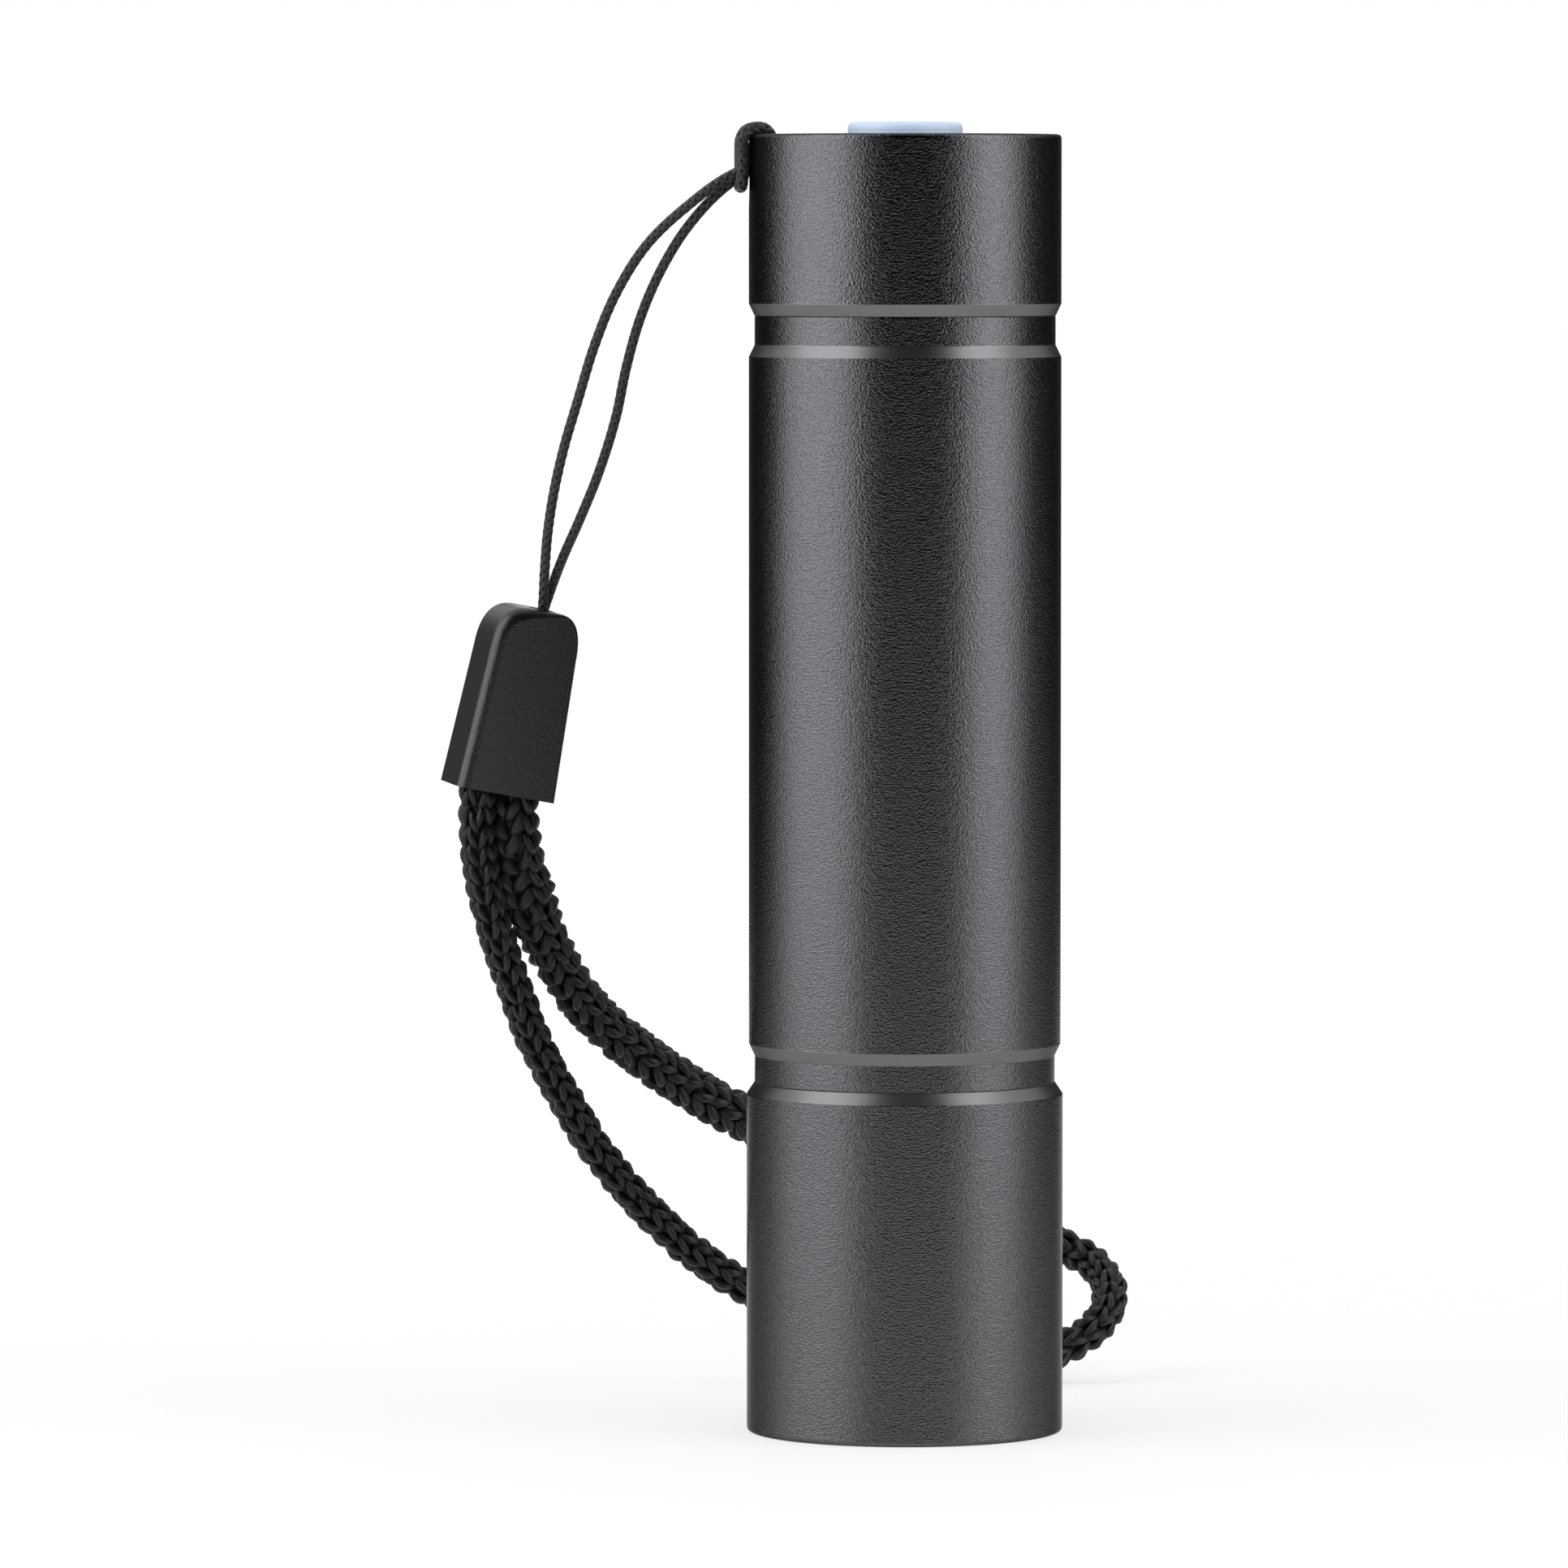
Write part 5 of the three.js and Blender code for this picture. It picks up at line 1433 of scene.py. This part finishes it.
# %% Set the softboxes
SOFTBOX_DISTANCE = 0.55
SOFTBOX_HEIGHT = 0.92
SOFTBOX_RADIANCE = 1.8
LEFT_BOX = (39.0, 100.0)
RIGHT_BOX = (-47.0, -88.0)


def direction(azimuth):
    """The level direction at an azimuth in degrees, measured from the camera towards the left."""
    angle = math.radians(azimuth)
    return Vector((-math.sin(angle), -math.cos(angle), 0.0))


def softbox(name, first, last):
    """A tall area light that fills the azimuths from first to last, seen from the torch."""
    half = math.radians(abs(last - first) / 2)
    lamp = bpy.data.lights.new(name, "AREA")
    lamp.shape = "RECTANGLE"
    lamp.size = 2 * SOFTBOX_DISTANCE * math.tan(half)
    lamp.size_y = SOFTBOX_HEIGHT
    lamp.energy = math.pi * lamp.size * lamp.size_y * SOFTBOX_RADIANCE
    made = bpy.data.objects.new(name, lamp)
    outward = direction((first + last) / 2)
    made.location = outward * SOFTBOX_DISTANCE + Vector((0, 0, SOFTBOX_HEIGHT / 2))
    made.rotation_euler = outward.to_track_quat("Z", "Y").to_euler()
    made.visible_camera = False
    bpy.context.scene.collection.objects.link(made)
    print(name, round(lamp.size, 2), "by", round(lamp.size_y, 2), "m,", round(lamp.energy, 2), "W")


softbox("softbox_left", *LEFT_BOX)
softbox("softbox_right", *RIGHT_BOX)

# %% [markdown]
# ### Flags
# Dark cloth between the softboxes keeps the barrel's middle and its edges dark. Photographers call such
# cloths flags. Those behind are low, so that the tail's end face shows the white above them. Here flags
# only show in reflections, so they neither block light nor hide the torch from any side.

# %% Hang the flags
FLAG_DISTANCE = 0.5
FLAG_STEPS = 24
# Each flag's first and last azimuth in degrees, its height in metres and its colour.
FLAGS = {
    "flag_front": (-46.0, 38.0, 1.75, "#181818"),
    "flag_rear_left": (101.0, 174.0, 0.24, "#585858"),
    "flag_rear_right": (-89.0, -174.0, 0.24, "#585858"),
}
for name, (first, last, top, colour) in FLAGS.items():
    flag_finish, _, _ = new_finish(
        "cloth_of_" + name, Base_Color=linear(colour), Roughness=0.9, Specular_IOR_Level=0.0,
    )
    corners, quads = [], []
    for step in range(FLAG_STEPS + 1):
        foot = direction(first + (last - first) * step / FLAG_STEPS) * FLAG_DISTANCE
        corners += [foot, foot + Vector((0, 0, top))]
        if step:
            quads.append((2 * step - 2, 2 * step, 2 * step + 1, 2 * step - 1))
    mesh = bpy.data.meshes.new(name)
    mesh.from_pydata(corners, [], quads)
    mesh.materials.append(flag_finish)
    flag = bpy.data.objects.new(name, mesh)
    bpy.context.scene.collection.objects.link(flag)
    for ray in ("camera", "diffuse", "transmission", "shadow", "volume_scatter"):
        setattr(flag, "visible_" + ray, False)
print("flags hung:", len(FLAGS))

# %% [markdown]
# ## Colours on screen
# The colours go to the screen as they are, with no film look.

# %% Show the colours as they are
bpy.context.scene.view_settings.view_transform = "Standard"
